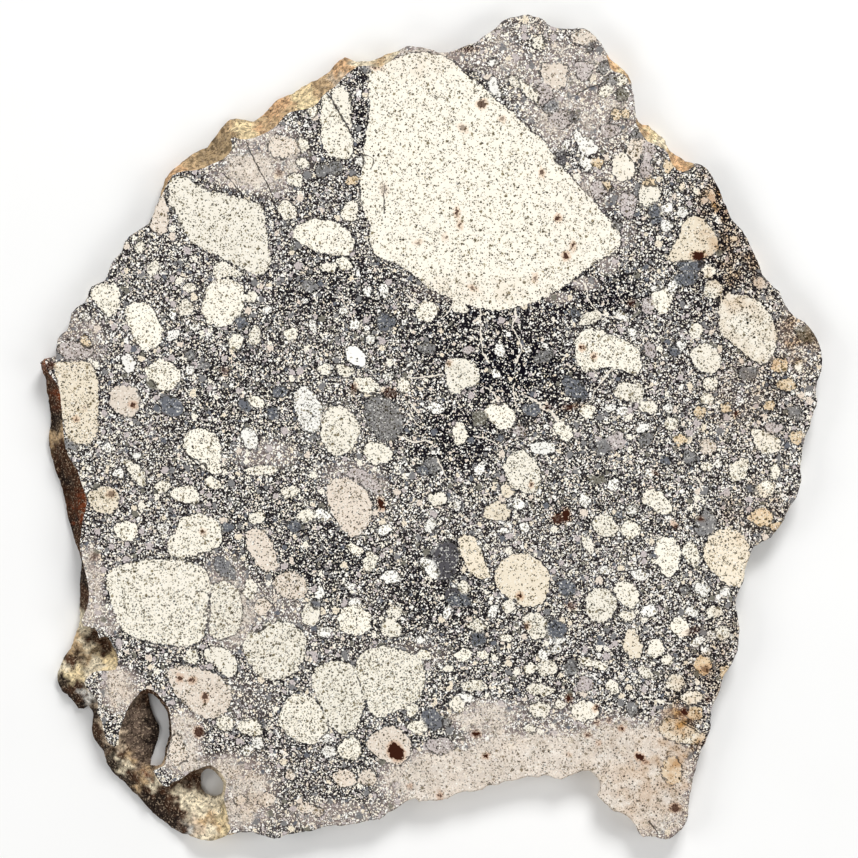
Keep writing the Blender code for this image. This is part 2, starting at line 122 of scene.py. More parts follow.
@dataclass(frozen=True)
class ReadingSheet:
    """Where a reading on the drawing sheet lies on the slice."""

    step: float = 0.2
    middle: tuple[float, float] = (431.13, 428.01)

    def to_plan(self, readings: Readings) -> np.ndarray:
        """Places on the slice.

        Args:
            readings: across and down on the sheet, in its steps. Further columns are left out.

        Returns:
            X and Y in millimetres, one row for each reading.
        """
        return (np.asarray(readings, dtype=float)[:, :2] - self.middle) * (self.step, -self.step)


SHEET = ReadingSheet()


@dataclass(frozen=True)
class Clast:
    """A large fragment as read on the sheet. specks is how densely dark grains fill it."""

    tone: Tone
    outline: Readings
    specks: float = 0.5


LARGE_CLASTS = (
    Clast(Tone.CREAM, (
        (368, 68), (390, 60), (412, 52), (438, 54), (455, 62), (465, 75), (480, 84), (488, 92),
        (500, 103), (515, 115), (530, 130), (545, 143), (556, 160), (575, 182), (600, 208),
        (622, 236), (618, 250), (602, 258), (582, 272), (560, 290), (530, 304), (500, 311),
        (478, 308), (462, 301), (440, 294), (428, 288), (412, 273), (396, 263), (376, 257),
        (369, 240), (371, 228), (364, 212), (360, 196), (361, 175), (363, 150), (368, 122),
        (370, 100)), 0.42),
    Clast(Tone.CREAM, (
        (171, 180), (178, 175), (192, 180), (204, 190), (224, 194), (245, 199), (262, 206),
        (266, 222), (268, 245), (272, 262), (262, 276), (250, 273), (238, 266), (222, 258),
        (205, 249), (193, 244), (187, 236), (181, 224), (176, 212), (170, 202), (168, 190)), 0.5),
    Clast(Tone.PINK, ((157, 202), (163, 190), (167, 204), (169, 220), (166, 234), (158, 236),
                      (149, 226), (153, 214)), 0.3),
    Clast(Tone.CREAM, ((321, 100), (326, 92), (331, 100), (338, 112), (346, 125), (352, 138),
                       (353, 152), (349, 160), (335, 158), (325, 152), (321, 138)), 0.55),
    Clast(Tone.CREAM, ((331, 92), (342, 84), (348, 92), (350, 108), (352, 128), (345, 121),
                       (338, 108), (331, 98)), 0.2),
    Clast(Tone.PINK, ((541, 64), (556, 63), (568, 66), (566, 86), (556, 90), (545, 84),
                      (540, 75)), 0.2),
    Clast(Tone.WHITE, ((488, 80), (493, 75), (500, 88), (501, 97), (494, 95), (489, 88)), 0.3),
    Clast(Tone.WHITE, ((574, 133), (577, 129), (583, 137), (594, 140), (598, 150), (592, 155),
                       (582, 153), (576, 145)), 0.3),
    Clast(Tone.CREAM, ((612, 160), (620, 152), (630, 155), (636, 168), (631, 179), (620, 182),
                       (613, 172)), 0.2),
    Clast(Tone.CREAM, ((639, 188), (648, 181), (657, 185), (661, 195), (655, 204), (645, 208),
                       (638, 200)), 0.3),
    Clast(Tone.BUFF, ((696, 214), (706, 222), (715, 235), (719, 246), (716, 253), (703, 257),
                      (690, 262), (672, 262), (664, 259), (672, 249), (678, 238), (681, 227),
                      (688, 218)), 0.4),
    Clast(Tone.CREAM, ((292, 238), (293, 230), (302, 223), (318, 218), (335, 221), (348, 230),
                       (356, 244), (348, 256), (331, 255), (315, 251), (303, 245)), 0.55),
    Clast(Tone.CREAM, ((104, 284), (117, 283), (121, 298), (117, 312), (108, 317), (100, 308),
                       (92, 298), (90, 290), (97, 284)), 0.45),
    Clast(Tone.CREAM, ((124, 308), (134, 302), (148, 303), (155, 312), (163, 330), (160, 345),
                       (150, 350), (141, 350), (134, 336), (127, 322)), 0.45),
    Clast(Tone.CREAM, ((209, 284), (225, 278), (240, 283), (245, 296), (242, 310), (234, 322),
                       (222, 328), (209, 323), (201, 312), (204, 296)), 0.5),
    Clast(Tone.CREAM, ((212, 266), (224, 261), (236, 268), (243, 276), (230, 276), (214, 280)), 0.9),
    Clast(Tone.WHITE, ((121, 357), (128, 353), (136, 362), (134, 370), (128, 374), (122, 364)),
          0.15),
    Clast(Tone.CREAM, ((143, 370), (151, 365), (160, 358), (178, 366), (182, 378), (175, 388),
                       (160, 390), (150, 382)), 0.8),
    Clast(Tone.BUFF, ((52, 362), (75, 362), (90, 362), (98, 380), (99, 405), (98, 430), (92, 443),
                      (78, 445), (68, 440), (63, 420), (60, 398), (57, 380)), 0.6),
    Clast(Tone.PINK, ((110, 390), (120, 385), (135, 387), (140, 398), (138, 412), (130, 418),
                      (118, 414), (110, 405)), 0.3),
    Clast(Tone.SLATE, ((161, 398), (170, 395), (181, 402), (184, 412), (175, 418), (163, 413),
                       (159, 405)), 0.3),
    Clast(Tone.CREAM, ((185, 434), (192, 430), (202, 428), (216, 433), (221, 445), (220, 460),
                       (222, 472), (214, 475), (205, 468), (198, 460), (188, 455), (183, 446)),
          0.6),
    Clast(Tone.WHITE, ((240, 432), (247, 427), (256, 434), (259, 443), (254, 450), (245, 447)),
          0.5),
    Clast(Tone.CREAM, ((120, 459), (130, 461), (140, 466), (147, 478), (145, 488), (138, 485),
                       (130, 475)), 0.5),
    Clast(Tone.BUFF, ((88, 492), (98, 488), (107, 485), (118, 492), (120, 505), (110, 515),
                      (98, 513), (88, 503)), 0.6),
    Clast(Tone.CREAM, ((166, 494), (180, 486), (195, 486), (200, 495), (198, 505), (184, 503),
                       (172, 498)), 0.6),
    Clast(Tone.CREAM, ((113, 529), (121, 521), (135, 522), (139, 534), (131, 542), (119, 539)),
          0.5),
    Clast(Tone.CREAM, ((181, 516), (200, 513), (214, 519), (222, 530), (222, 545), (210, 550),
                       (195, 555), (178, 560), (168, 553), (167, 541), (177, 531)), 0.6),
    Clast(Tone.PINK, ((247, 531), (256, 527), (266, 534), (272, 543), (277, 558), (280, 567),
                      (270, 572), (258, 567), (250, 553), (245, 541)), 0.35),
    Clast(Tone.WHITE, ((293, 398), (297, 388), (305, 385), (314, 394), (322, 407), (321, 420),
                       (319, 430), (311, 433), (303, 428), (296, 415)), 0.7),
    Clast(Tone.CREAM, ((325, 411), (331, 405), (345, 407), (356, 417), (361, 430), (357, 443),
                       (350, 451), (338, 457), (328, 452), (321, 440), (321, 425)), 0.55),
    Clast(Tone.CREAM, ((363, 447), (372, 442), (386, 444), (394, 455), (386, 463), (374, 466),
                       (366, 458)), 0.5),
    Clast(Tone.GRAY, ((365, 402), (375, 395), (388, 398), (398, 406), (403, 420), (401, 434),
                       (392, 441), (380, 440), (371, 430), (365, 416)), 1.0),
    Clast(Tone.WHITE, ((344, 352), (349, 346), (361, 349), (367, 358), (363, 366), (355, 368),
                       (348, 360)), 0.1),
    Clast(Tone.CREAM, ((444, 362), (452, 358), (463, 358), (475, 363), (480, 373), (478, 385),
                      (466, 387), (460, 394), (450, 394), (446, 380)), 0.5),
    Clast(Tone.CREAM, ((452, 428), (458, 420), (465, 425), (468, 436), (462, 444), (455, 445)),
          0.3),
    Clast(Tone.CREAM, ((484, 408), (495, 403), (510, 405), (516, 415), (512, 427), (502, 431),
                       (494, 425), (488, 416)), 0.5),
    Clast(Tone.CREAM, ((503, 463), (511, 454), (521, 450), (533, 457), (540, 468), (541, 482),
                       (535, 492), (525, 493), (513, 488), (505, 476)), 0.55),
    Clast(Tone.BUFF, ((500, 484), (507, 484), (515, 494), (508, 499), (501, 494)), 0.2),
    Clast(Tone.WHITE, ((529, 445), (540, 441), (552, 443), (557, 450), (548, 455), (534, 454)),
          0.2),
    Clast(Tone.CREAM, ((552, 425), (562, 420), (571, 429), (575, 438), (565, 442), (557, 434)),
          0.5),
    Clast(Tone.BUFF, ((481, 516), (486, 506), (497, 501), (507, 505), (512, 515), (505, 520),
                      (490, 520)), 0.4),
    Clast(Tone.PINK, ((326, 487), (334, 480), (345, 477), (357, 483), (368, 493), (373, 507),
                      (370, 520), (363, 532), (355, 538), (345, 533), (336, 520), (328, 505)),
          0.5),
    Clast(Tone.LILAC, ((342, 474), (352, 467), (368, 472), (380, 484), (384, 496), (376, 494),
                       (366, 487), (354, 479)), 0.7),
    Clast(Tone.DARK, ((437, 545), (446, 541), (458, 544), (460, 555), (456, 568), (446, 576),
                      (436, 570), (432, 559)), 0.35),
    Clast(Tone.BUFF, ((457, 539), (464, 535), (475, 536), (480, 545), (483, 558), (488, 568),
                      (490, 577), (480, 580), (470, 573), (463, 561)), 0.5),
    Clast(Tone.BUFF, ((493, 575), (500, 563), (512, 555), (527, 553), (540, 560), (548, 573),
                      (550, 588), (545, 600), (535, 607), (520, 605), (506, 596), (497, 586)), 0.3),
    Clast(Tone.CREAM, ((574, 341), (583, 330), (599, 330), (615, 337), (630, 343), (640, 352),
                       (642, 368), (637, 375), (625, 372), (612, 367), (597, 368), (584, 372),
                       (577, 362)), 0.6),
    Clast(Tone.CREAM, ((651, 291), (660, 285), (670, 290), (673, 300), (668, 312), (660, 315),
                       (653, 305)), 0.5),
    Clast(Tone.CREAM, ((689, 352), (698, 345), (708, 343), (718, 352), (722, 365), (715, 373),
                       (702, 372), (693, 365)), 0.5),
    Clast(Tone.CREAM, ((719, 302), (728, 293), (741, 295), (755, 298), (767, 309), (775, 325),
                       (778, 341), (774, 353), (768, 363), (760, 364), (748, 357), (738, 347),
                       (728, 340), (720, 333), (719, 318)), 0.55),
    Clast(Tone.CREAM, ((612, 393), (617, 385), (626, 382), (640, 383), (645, 390), (643, 400),
                       (634, 403), (621, 400)), 0.5),
    Clast(Tone.CREAM, ((751, 429), (760, 430), (771, 434), (781, 440), (780, 450), (770, 455),
                       (760, 452), (754, 443)), 0.7),
    Clast(Tone.CREAM, ((640, 496), (648, 488), (660, 492), (669, 500), (673, 511), (665, 516),
                       (652, 508), (643, 503)), 0.5),
    Clast(Tone.CREAM, ((592, 520), (601, 514), (612, 517), (618, 527), (615, 537), (603, 537),
                       (594, 530)), 0.8),
    Clast(Tone.GRAY, ((697, 519), (705, 509), (714, 513), (717, 525), (710, 534), (701, 536),
                      (694, 530)), 0.3),
    Clast(Tone.TAN, ((745, 517), (755, 510), (768, 508), (773, 517), (770, 526), (757, 525)),
          0.5),
    Clast(Tone.BUFF, ((702, 547), (710, 537), (720, 528), (737, 530), (747, 540), (750, 552),
                      (748, 565), (745, 578), (738, 588), (728, 585), (715, 575), (705, 562)),
          0.55),
    Clast(Tone.CREAM, ((656, 545), (660, 538), (672, 537), (680, 548), (680, 562), (676, 572),
                       (668, 578), (660, 570)), 0.4),
    Clast(Tone.CREAM, ((105, 578), (115, 567), (130, 562), (152, 559), (180, 560), (204, 567),
                       (211, 582), (207, 600), (206, 620), (203, 640), (190, 646), (165, 645),
                       (145, 641), (128, 636), (119, 624), (111, 603)), 0.65),
    Clast(Tone.CREAM, ((212, 585), (226, 580), (240, 592), (243, 612), (238, 632), (222, 640),
                      (208, 636), (211, 610)), 1.0),
    Clast(Tone.PINK, ((272, 581), (285, 571), (300, 573), (308, 585), (305, 598), (290, 600),
                      (277, 593)), 0.9),
    Clast(Tone.CREAM, ((241, 646), (250, 632), (266, 623), (290, 622), (307, 635), (305, 658),
                      (295, 673), (276, 680), (260, 678), (250, 665)), 0.85),
    Clast(Tone.CREAM, ((203, 652), (213, 646), (226, 648), (237, 658), (236, 674), (226, 678),
                       (215, 665), (206, 660)), 0.3),
    Clast(Tone.PINK, ((166, 672), (179, 665), (200, 668), (219, 675), (232, 689), (230, 708),
                      (216, 719), (196, 715), (183, 702), (171, 688)), 0.45),
    Clast(Tone.CREAM, ((278, 722), (282, 706), (291, 695), (301, 692), (315, 700), (326, 715),
                       (328, 734), (316, 745), (300, 742), (287, 735)), 0.8),
    Clast(Tone.CREAM, ((301, 611), (308, 602), (317, 605), (321, 617), (313, 627), (303, 623)),
          0.5),
    Clast(Tone.CREAM, ((337, 616), (344, 607), (358, 605), (370, 614), (372, 628), (361, 635),
                       (347, 635), (339, 626)), 0.9),
    Clast(Tone.CREAM, ((312, 676), (318, 665), (334, 660), (350, 663), (358, 674), (362, 690),
                       (365, 705), (361, 718), (355, 729), (344, 735), (333, 729), (325, 715),
                       (318, 700), (312, 688)), 0.8),
    Clast(Tone.CREAM, ((354, 668), (362, 652), (380, 645), (400, 650), (417, 656), (425, 668),
                       (425, 685), (418, 700), (405, 708), (390, 714), (378, 720), (370, 710),
                       (363, 695), (357, 681)), 0.9),
    Clast(Tone.CREAM, ((337, 750), (343, 740), (353, 735), (362, 745), (360, 757), (350, 760),
                       (341, 757)), 0.8),
    Clast(Tone.PINK, ((365, 745), (373, 734), (385, 726), (398, 728), (410, 739), (412, 754),
                       (401, 765), (388, 762), (375, 755)), 0.3),
    Clast(Tone.SLATE, ((420, 714), (430, 708), (440, 714), (446, 722), (438, 731), (427, 727)),
          0.3),
    Clast(Tone.CREAM, ((522, 617), (531, 612), (543, 614), (548, 625), (545, 637), (533, 640),
                       (526, 630)), 0.9),
    Clast(Tone.CREAM, ((585, 601), (590, 591), (601, 587), (612, 592), (617, 603), (614, 614),
                       (605, 622), (593, 622), (587, 613)), 0.7),
    Clast(Tone.CREAM, ((614, 586), (622, 580), (635, 585), (640, 598), (635, 608), (625, 607),
                       (618, 600)), 0.35),
    Clast(Tone.BUFF, ((622, 646), (627, 630), (633, 628), (640, 640), (643, 650), (639, 658),
                      (630, 658)), 0.4),
    Clast(Tone.CREAM, ((647, 650), (652, 640), (661, 640), (665, 650), (658, 658), (650, 657)),
          0.4),
    Clast(Tone.CREAM, ((669, 622), (678, 617), (688, 622), (690, 632), (682, 637), (673, 633)),
          0.3),
    Clast(Tone.TAN, ((692, 663), (700, 655), (710, 658), (712, 668), (705, 677), (697, 672)),
          0.4),
    Clast(Tone.BUFF, ((658, 727), (666, 718), (681, 720), (695, 727), (705, 735), (703, 742),
                      (688, 745), (675, 742), (663, 737)), 0.7),
    Clast(Tone.CREAM, ((572, 706), (580, 700), (592, 702), (600, 710), (595, 718), (583, 722),
                       (574, 718)), 0.35),
    Clast(Tone.TAN, ((662, 763), (668, 757), (678, 758), (682, 770), (680, 783), (670, 785),
                     (663, 778)), 0.2),
)

# Smaller fragments: across, down, half-length, half-width, turn in degrees counter-clockwise.
SMALL_CLASTS: dict[Tone, Readings] = {
    Tone.WHITE: (
        (173, 335, 7, 5.5, 20), (173, 314, 6, 4, 90), (195, 327, 5, 4, 0), (268, 310, 5, 4, 30),
        (190, 370, 5.5, 4.5, 60), (118, 473, 6, 4.5, -20), (136, 455, 4, 3.5, 0),
        (108, 448, 6, 5, 0), (85, 316, 6, 4.5, -20), (163, 528, 6, 5, 0), (313, 326, 7.5, 4, -63),
        (355, 325, 6.5, 5, 90), (366, 328, 3.5, 3, 0), (343, 310, 5, 4, 60), (370, 340, 6, 5, 0),
        (389, 377, 6, 4, 0), (410, 365, 3.5, 3, 0), (436, 408, 9, 4.5, -25),
        (480, 469, 7.5, 5, 80), (519, 505, 6, 5.5, 0), (457, 505, 6, 4, 80), (430, 525, 8, 6, 70),
        (385, 530, 7, 5.5, 30), (322, 515, 8, 6, -30), (391, 577, 10, 7, 0),
        (430, 568, 13, 5.5, -55), (525, 527, 6, 5, 0), (503, 530, 5, 4, 0),
        (500, 350, 7, 4.5, -60), (497, 374, 6, 4, -20), (545, 345, 4, 3, 0),
        (528, 352, 4.5, 3, 70), (632, 332, 5, 4.5, 0), (622, 316, 9, 5, -10),
        (680, 346, 6.5, 5.5, 0), (610, 408, 6.5, 4.5, 10), (622, 410, 5.5, 5, 0),
        (642, 427, 6, 5, 20), (585, 500, 7.5, 5, -70), (613, 484, 6.5, 5.5, -30),
        (632, 510, 6, 5, 0), (702, 590, 8.5, 6.5, -20), (492, 612, 7.5, 5.5, 60),
        (447, 612, 5.5, 4.5, 70), (543, 655, 7, 5, -40), (556, 650, 6, 5, 20),
        (465, 697, 9, 4, -15),
        (697, 642, 8, 4, 20), (706, 651, 5, 4.5, 0), (712, 635, 6, 4, 0), (368, 291, 5.5, 4.5, 60),
        (384, 291, 7, 5, -70), (320, 593, 8, 4.5, 80), (350, 586, 5, 4, 0), (355, 602, 7, 4, 10),
        (325, 632, 7.5, 6, 20), (586, 164, 8.5, 5.5, -60), (328, 752, 7.5, 6.5, 20),
        (325, 738, 9, 5, 0), (725, 592, 6, 4.5, 0), (692, 612, 7, 5, 0), (650, 611, 9, 7.5, 20),
        (247, 750, 6, 5, 0), (258, 744, 6, 6, 0), (360, 162, 5, 5, 0), (668, 208, 5, 5.5, 0),
        (682, 212, 5.5, 6, 0), (667, 226, 5.5, 6.5, 0), (658, 290, 7, 6, 20),
        (672, 288, 5, 7, 0), (493, 62, 5, 4, 0), (718, 464, 5, 4.5, 0), (566, 145, 6, 4, 60),
        (130, 362, 3, 3, 0), (305, 301, 4, 3, 0), (420, 640, 5, 4, 0), (560, 640, 5, 4, 0),
        (604, 570, 6, 5, 0), (640, 575, 8, 5, -10), (668, 408, 6, 4, 0), (650, 473, 6, 5, 0),
    ),
    Tone.CREAM: (
        (140, 247, 6.5, 6, 0), (153, 268, 8, 6, 60), (190, 288, 7, 5, 0), (186, 308, 8.5, 7, 70),
        (251, 297, 7, 6, 0), (255, 335, 10, 6, 80), (237, 341, 9.5, 6.5, 70),
        (290, 334, 7.5, 6.5, 0), (256, 402, 9.5, 6.5, -20), (213, 483, 9.5, 5, -25),
        (262, 471, 18, 6, 0), (303, 145, 7, 6.5, 80), (303, 163, 6.5, 6, 0), (312, 110, 7, 5, 80),
        (296, 180, 9, 7, -30), (329, 268, 9, 5, 0), (344, 264, 9, 6, -20), (350, 211, 10, 8, 60),
        (288, 211, 11, 8, -40), (325, 370, 7, 6, -20), (345, 371, 9, 6.5, -20),
        (365, 385, 13, 7, -10), (404, 386, 8.5, 5.5, -60), (427, 312, 12, 10, 0),
        (460, 307, 9, 7, -10), (437, 499, 10, 7.5, 0), (355, 549, 8, 5, -20),
        (370, 562, 11, 7, 80), (538, 43, 6, 7, 0), (606, 91, 7, 6, 0), (621, 80, 5.5, 5.5, 0),
        (588, 411, 8.5, 7.5, 0), (590, 318, 13, 7.5, 20), (648, 407, 9, 6.5, 0),
        (671, 423, 8, 7, 30), (710, 383, 7.5, 7, 0), (707, 398, 7.5, 6, -10),
        (696, 330, 8.5, 6.5, 70), (739, 470, 13, 10, 70), (775, 473, 7.5, 5.5, 80),
        (767, 489, 9.5, 7.5, 0), (799, 365, 6, 4, 80), (706, 467, 7, 4.5, 0),
        (691, 554, 13, 7, -70), (588, 545, 9, 5, -60), (630, 530, 10, 8, 0),
        (465, 588, 7.5, 6.5, 0), (508, 606, 8, 6, 10), (476, 625, 9, 6.5, -20),
        (395, 612, 8, 5.5, 10), (391, 628, 11.5, 10, 0), (458, 704, 9, 8, 0),
        (412, 709, 8.5, 5.5, 80), (418, 727, 10.5, 7, -10), (540, 710, 10, 7.5, 0),
        (530, 728, 7, 5, 0), (613, 687, 8.5, 7, -30), (675, 683, 10, 8, 0), (692, 697, 10, 6.5, 0),
        (627, 616, 8, 5, 0), (715, 612, 8, 7, 0), (722, 633, 8.5, 7, 0), (250, 590, 10, 7.5, 70),
        (192, 657, 7, 7.5, 0), (250, 728, 13, 8.5, -20), (225, 724, 10, 6.5, 0),
        (709, 271, 6.5, 8, 0), (713, 289, 10, 9, 0), (291, 492, 9, 8, 0), (306, 516, 10, 6, 10),
        (257, 518, 9, 6, 0), (475, 686, 14, 6, 0), (541, 690, 15, 6, -10), (530, 92, 16, 5, -45),
        (515, 82, 9, 4, -50), (205, 466, 5, 4, 0), (163, 487, 9, 6, 0), (655, 562, 4, 3, 0),
        (547, 668, 11, 8, 0), (530, 668, 7, 5.5, 20),
        (560, 704, 6, 5, 0), (668, 660, 7, 5, 0), (600, 666, 9, 5, -20), (586, 662, 7, 5, -30),
        (645, 672, 9, 5, -30), (380, 700, 4, 3, 0), (448, 668, 6, 4, -10), (506, 638, 6, 4, 0),
        (463, 655, 9, 6, 20), (483, 655, 7, 5, -20), (425, 655, 8, 5, 0),
    ),
    Tone.PINK: (
        (585, 37, 13, 8, 10), (262, 607, 10, 9, 0), (708, 447, 8, 8.5, 0), (268, 800, 9, 7, 0),
        (290, 775, 6, 5, 0), (760, 283, 8, 6, -20), (635, 150, 9, 13, 0), (285, 146, 16, 12, 0),
        (215, 205, 3, 3, 0), (305, 808, 8, 6, 0), (240, 800, 7, 5, 0), (318, 812, 7, 5, 0),
        (178, 750, 9, 16, 0), (470, 620, 5, 4, 0), (345, 778, 12, 9, 0), (368, 778, 9, 8, 0),
    ),
    Tone.TAN: (
        (597, 163, 6, 6, 0), (668, 166, 6, 6, 0), (616, 115, 5, 6, 0), (626, 114, 4, 6, 0),
        (780, 366, 9, 7, 0), (786, 385, 9, 7, 0), (796, 437, 7, 7, 0), (86, 345, 7, 10, 0),
        (695, 714, 8, 8, 0), (725, 672, 6, 7, 0), (778, 527, 8, 6, 0), (680, 440, 7, 6, 0),
        (352, 180, 7, 5, 0), (770, 405, 6, 5, 0), (726, 408, 6, 5, 0), (700, 412, 6, 6, 0),
        (650, 184, 7, 7, 0), (606, 186, 6, 5, 0),
    ),
    Tone.LILAC: (
        (650, 350, 8.5, 7, -70), (617, 441, 8, 9, 0), (648, 150, 7, 10, 0), (520, 430, 9, 5, -70),
        (583, 70, 10, 10, 0), (585, 685, 9, 7, 0), (628, 205, 9, 14, 10), (75, 350, 18, 9, 0),
        (646, 170, 7, 10, 0), (774, 428, 10, 5, 0), (598, 190, 10, 8, 30), (260, 630, 8, 6, 0),
        (648, 305, 6, 9, 0), (469, 350, 6, 5, 0), (500, 405, 4, 3, 0), (440, 745, 14, 9, 0),
        (560, 120, 12, 10, 30), (545, 95, 9, 12, 0), (610, 130, 10, 7, 0),
    ),
    Tone.GRAY: (
        (309, 286, 9, 5.5, 0), (335, 167, 7, 6.5, 0), (321, 171, 7, 6.5, 0), (365, 68, 5, 6, 0),
        (191, 355, 5, 6, 0), (205, 366, 4.5, 4, 0), (427, 349, 9, 7, 0), (544, 357, 9.5, 7.5, 0),
        (603, 447, 7.5, 9, -20), (646, 439, 8, 6.5, 60), (690, 456, 7.5, 6, -30),
        (70, 445, 9, 5, -15), (632, 708, 5, 7.5, 20), (604, 68, 6, 6, 0), (611, 80, 7, 5.5, -20),
        (616, 226, 7, 4.5, 0), (748, 373, 10, 6, 0), (795, 413, 10, 5.5, -35),
        (570, 668, 7, 8, 0), (445, 722, 5, 5, 0), (685, 590, 5, 4, 0), (637, 136, 6, 6, 0),
        (433, 465, 9, 7, -40),
    ),
    Tone.OLIVE: (
        (480, 418, 8.5, 8, 0), (597, 480, 10, 4, 0), (806, 334, 12, 8, -30), (622, 94, 6, 7, 0),
        (338, 172, 3, 3, 0), (152, 384, 6, 5, 0),
    ),
    Tone.SLATE: (
        (225, 568, 14, 7, -45), (228, 527, 7, 5, 0), (245, 405, 8, 6, -10), (272, 413, 6.5, 6, 0),
        (280, 392, 7, 6, 0), (241, 322, 6, 7, 0), (555, 629, 11, 9, -25), (567, 587, 10, 8.5, -20),
        (478, 640, 8, 7, 0), (575, 389, 16, 9, -42), (675, 350, 6, 6, 0), (655, 214, 6, 11, 10),
        (686, 279, 11, 8, 20), (690, 265, 14, 6, 0), (751, 489, 6, 4, 0), (620, 515, 4, 4, 0),
        (423, 470, 6, 5, 0), (386, 322, 9, 9, 0), (575, 313, 5, 5, 0), (499, 437, 5, 4, 0),
        (532, 410, 9, 7, 0),
        (460, 600, 12, 7, 0), (315, 606, 6, 5, 0), (295, 527, 7, 6, 0), (515, 600, 3, 3, 0),
        (665, 460, 6, 5, 0), (550, 105, 9, 7, -20),
    ),
    Tone.DARK: (
        (560, 158, 6.5, 8.5, 0), (573, 117, 5, 5, 0), (590, 47, 5, 4, 0), (165, 407, 4, 4, 0),
        (452, 592, 7, 5, 0), (447, 575, 12, 5, 10), (700, 265, 5, 4, 0),
    ),
}

# Rust spots around metal grains: across, down, half-length, half-width, turn, strength.
RUST_SPOTS: Readings = (
    (396, 752, 9, 7, -50, 1.0), (394, 745, 3.5, 3, 0, 1.0), (400, 757, 3.5, 2.5, 0, 1.0),
    (381, 504, 3, 5, 15, 1.0), (199, 732, 4.5, 5, 0, 0.9), (180, 678, 2.5, 3, 0, 0.9),
    (192, 680, 3, 2.5, 0, 0.9), (205, 697, 3, 3.5, 0, 0.9), (111, 494, 3.5, 3, 0, 0.7),
    (558, 519, 6, 4.5, 0, 0.9), (566, 515, 4, 6, 0, 1.0), (520, 596, 2.5, 2.5, 0, 1.0),
    (640, 757, 4.5, 3, -30, 1.0), (645, 762, 2, 1.5, 0, 0.9), (675, 808, 4.5, 4, 0, 0.85),
    (684, 712, 3.5, 3, 0, 1.0), (476, 734, 3.5, 2.8, 0, 1.0), (486, 756, 2.5, 2, 0, 1.0),
    (569, 698, 3, 3.2, 0, 1.0), (596, 708, 2.2, 2.4, 0, 1.0), (622, 728, 2.2, 2, 0, 1.0),
    (701, 519, 2.4, 2.2, 0, 0.9), (705, 669, 5, 3.5, 0, 0.6), (440, 796, 2, 3.4, 0, 0.9),
    (571, 606, 4.5, 3.5, -40, 0.6), (527, 626, 2, 2.4, 0, 0.9), (482, 104, 4.5, 4, 30, 0.85),
    (502, 119, 2.4, 2.4, 0, 0.6), (542, 173, 2, 3, 0, 0.85), (558, 218, 2.6, 3, 0, 0.95),
    (573, 246, 1.8, 3, 0, 0.9), (566, 256, 3.2, 3.4, 0, 0.95), (457, 213, 1.8, 3.2, 0, 0.9),
    (460, 225, 1.8, 3, 0, 0.8), (463, 128, 4.2, 2.6, -30, 0.6), (698, 256, 6, 4, 0, 1.0),
    (582, 348, 2.4, 2.4, 0, 1.0), (594, 356, 2, 2.4, 0, 0.95), (449, 363, 2, 2, 0, 0.85),
    (133, 405, 3.2, 2.6, -20, 0.95), (225, 371, 3.4, 4, 0, 0.55), (390, 393, 7, 4.5, -20, 0.6),
    (354, 388, 3, 4, 0, 0.7), (279, 173, 3, 3, 0, 0.6), (76, 419, 2.4, 2, 0, 0.8),
    (736, 414, 2.6, 2.2, 0, 0.9), (203, 532, 2.4, 2.2, 0, 0.7), (570, 407, 7, 2.2, 10, 0.8),
    (631, 303, 4, 4, 0, 0.55), (675, 526, 3.5, 1.8, -40, 0.8), (656, 473, 3, 1.8, -45, 0.7),
    (548, 407, 3, 2.4, 0, 0.5), (531, 485, 1.6, 2, 0, 0.9), (410, 786, 1.6, 1.4, 0, 0.9),
    (588, 735, 2, 1.6, 0, 0.8), (597, 722, 1.8, 2, 0, 0.8), (598, 743, 1.6, 1.6, 0, 0.8),
    (609, 720, 1.8, 1.6, 0, 0.8), (569, 755, 1.2, 1.2, 0, 0.6), (470, 49, 7, 1.8, 12, 0.6),
    (376, 67, 4, 1.6, -10, 0.9), (535, 278, 2, 3, 0, 0.7), (473, 288, 3, 1.6, -20, 0.7),
    (418, 242, 2.4, 1.4, 10, 0.6), (445, 237, 2, 2.4, 0, 0.5), (384, 190, 3, 5, 0, 0.35),
    (692, 631, 7, 3, 20, 0.45), (708, 700, 3, 3, 0, 0.5), (95, 556, 4, 3, 0, 0.5),
    (85, 408, 2, 2, 0, 0.3), (50, 366, 4, 4, 0, 0.8), (773, 365, 3, 2, 0, 0.4),
)

# Dark cracks and contacts across the sawn face.
CRACKS: tuple[Readings, ...] = (
    ((246, 141), (252, 156), (258, 168), (264, 178), (268, 186), (272, 195), (275, 208),
     (278, 220), (284, 226), (290, 236)),
    ((278, 220), (288, 225), (300, 220), (315, 216)),
    ((328, 95), (338, 110), (345, 122), (352, 136)),
    ((738, 523), (755, 528), (775, 531)),
    ((572, 97), (588, 88), (604, 83)),
    ((362, 800), (368, 808), (372, 817)),
    ((648, 820), (653, 826), (659, 835)),
    ((683, 177), (690, 188), (700, 199)),
    ((361, 154), (368, 155), (374, 160), (371, 170)),
    ((480, 543), (483, 554), (487, 563)),
    ((681, 722), (691, 727), (701, 734)),
    ((744, 262), (752, 270), (760, 275)),
    ((294, 812), (300, 822), (303, 832)),
    ((384, 184), (384, 200), (385, 214)),
    ((100, 318), (104, 328), (106, 337)),
    ((235, 145), (228, 152), (222, 159), (212, 163)),
    ((222, 172), (232, 182), (242, 194), (250, 202)),
    ((146, 226), (154, 232), (162, 236)),
    ((577, 328), (588, 328), (603, 322)),
    ((204, 503), (190, 504), (180, 503)),
)

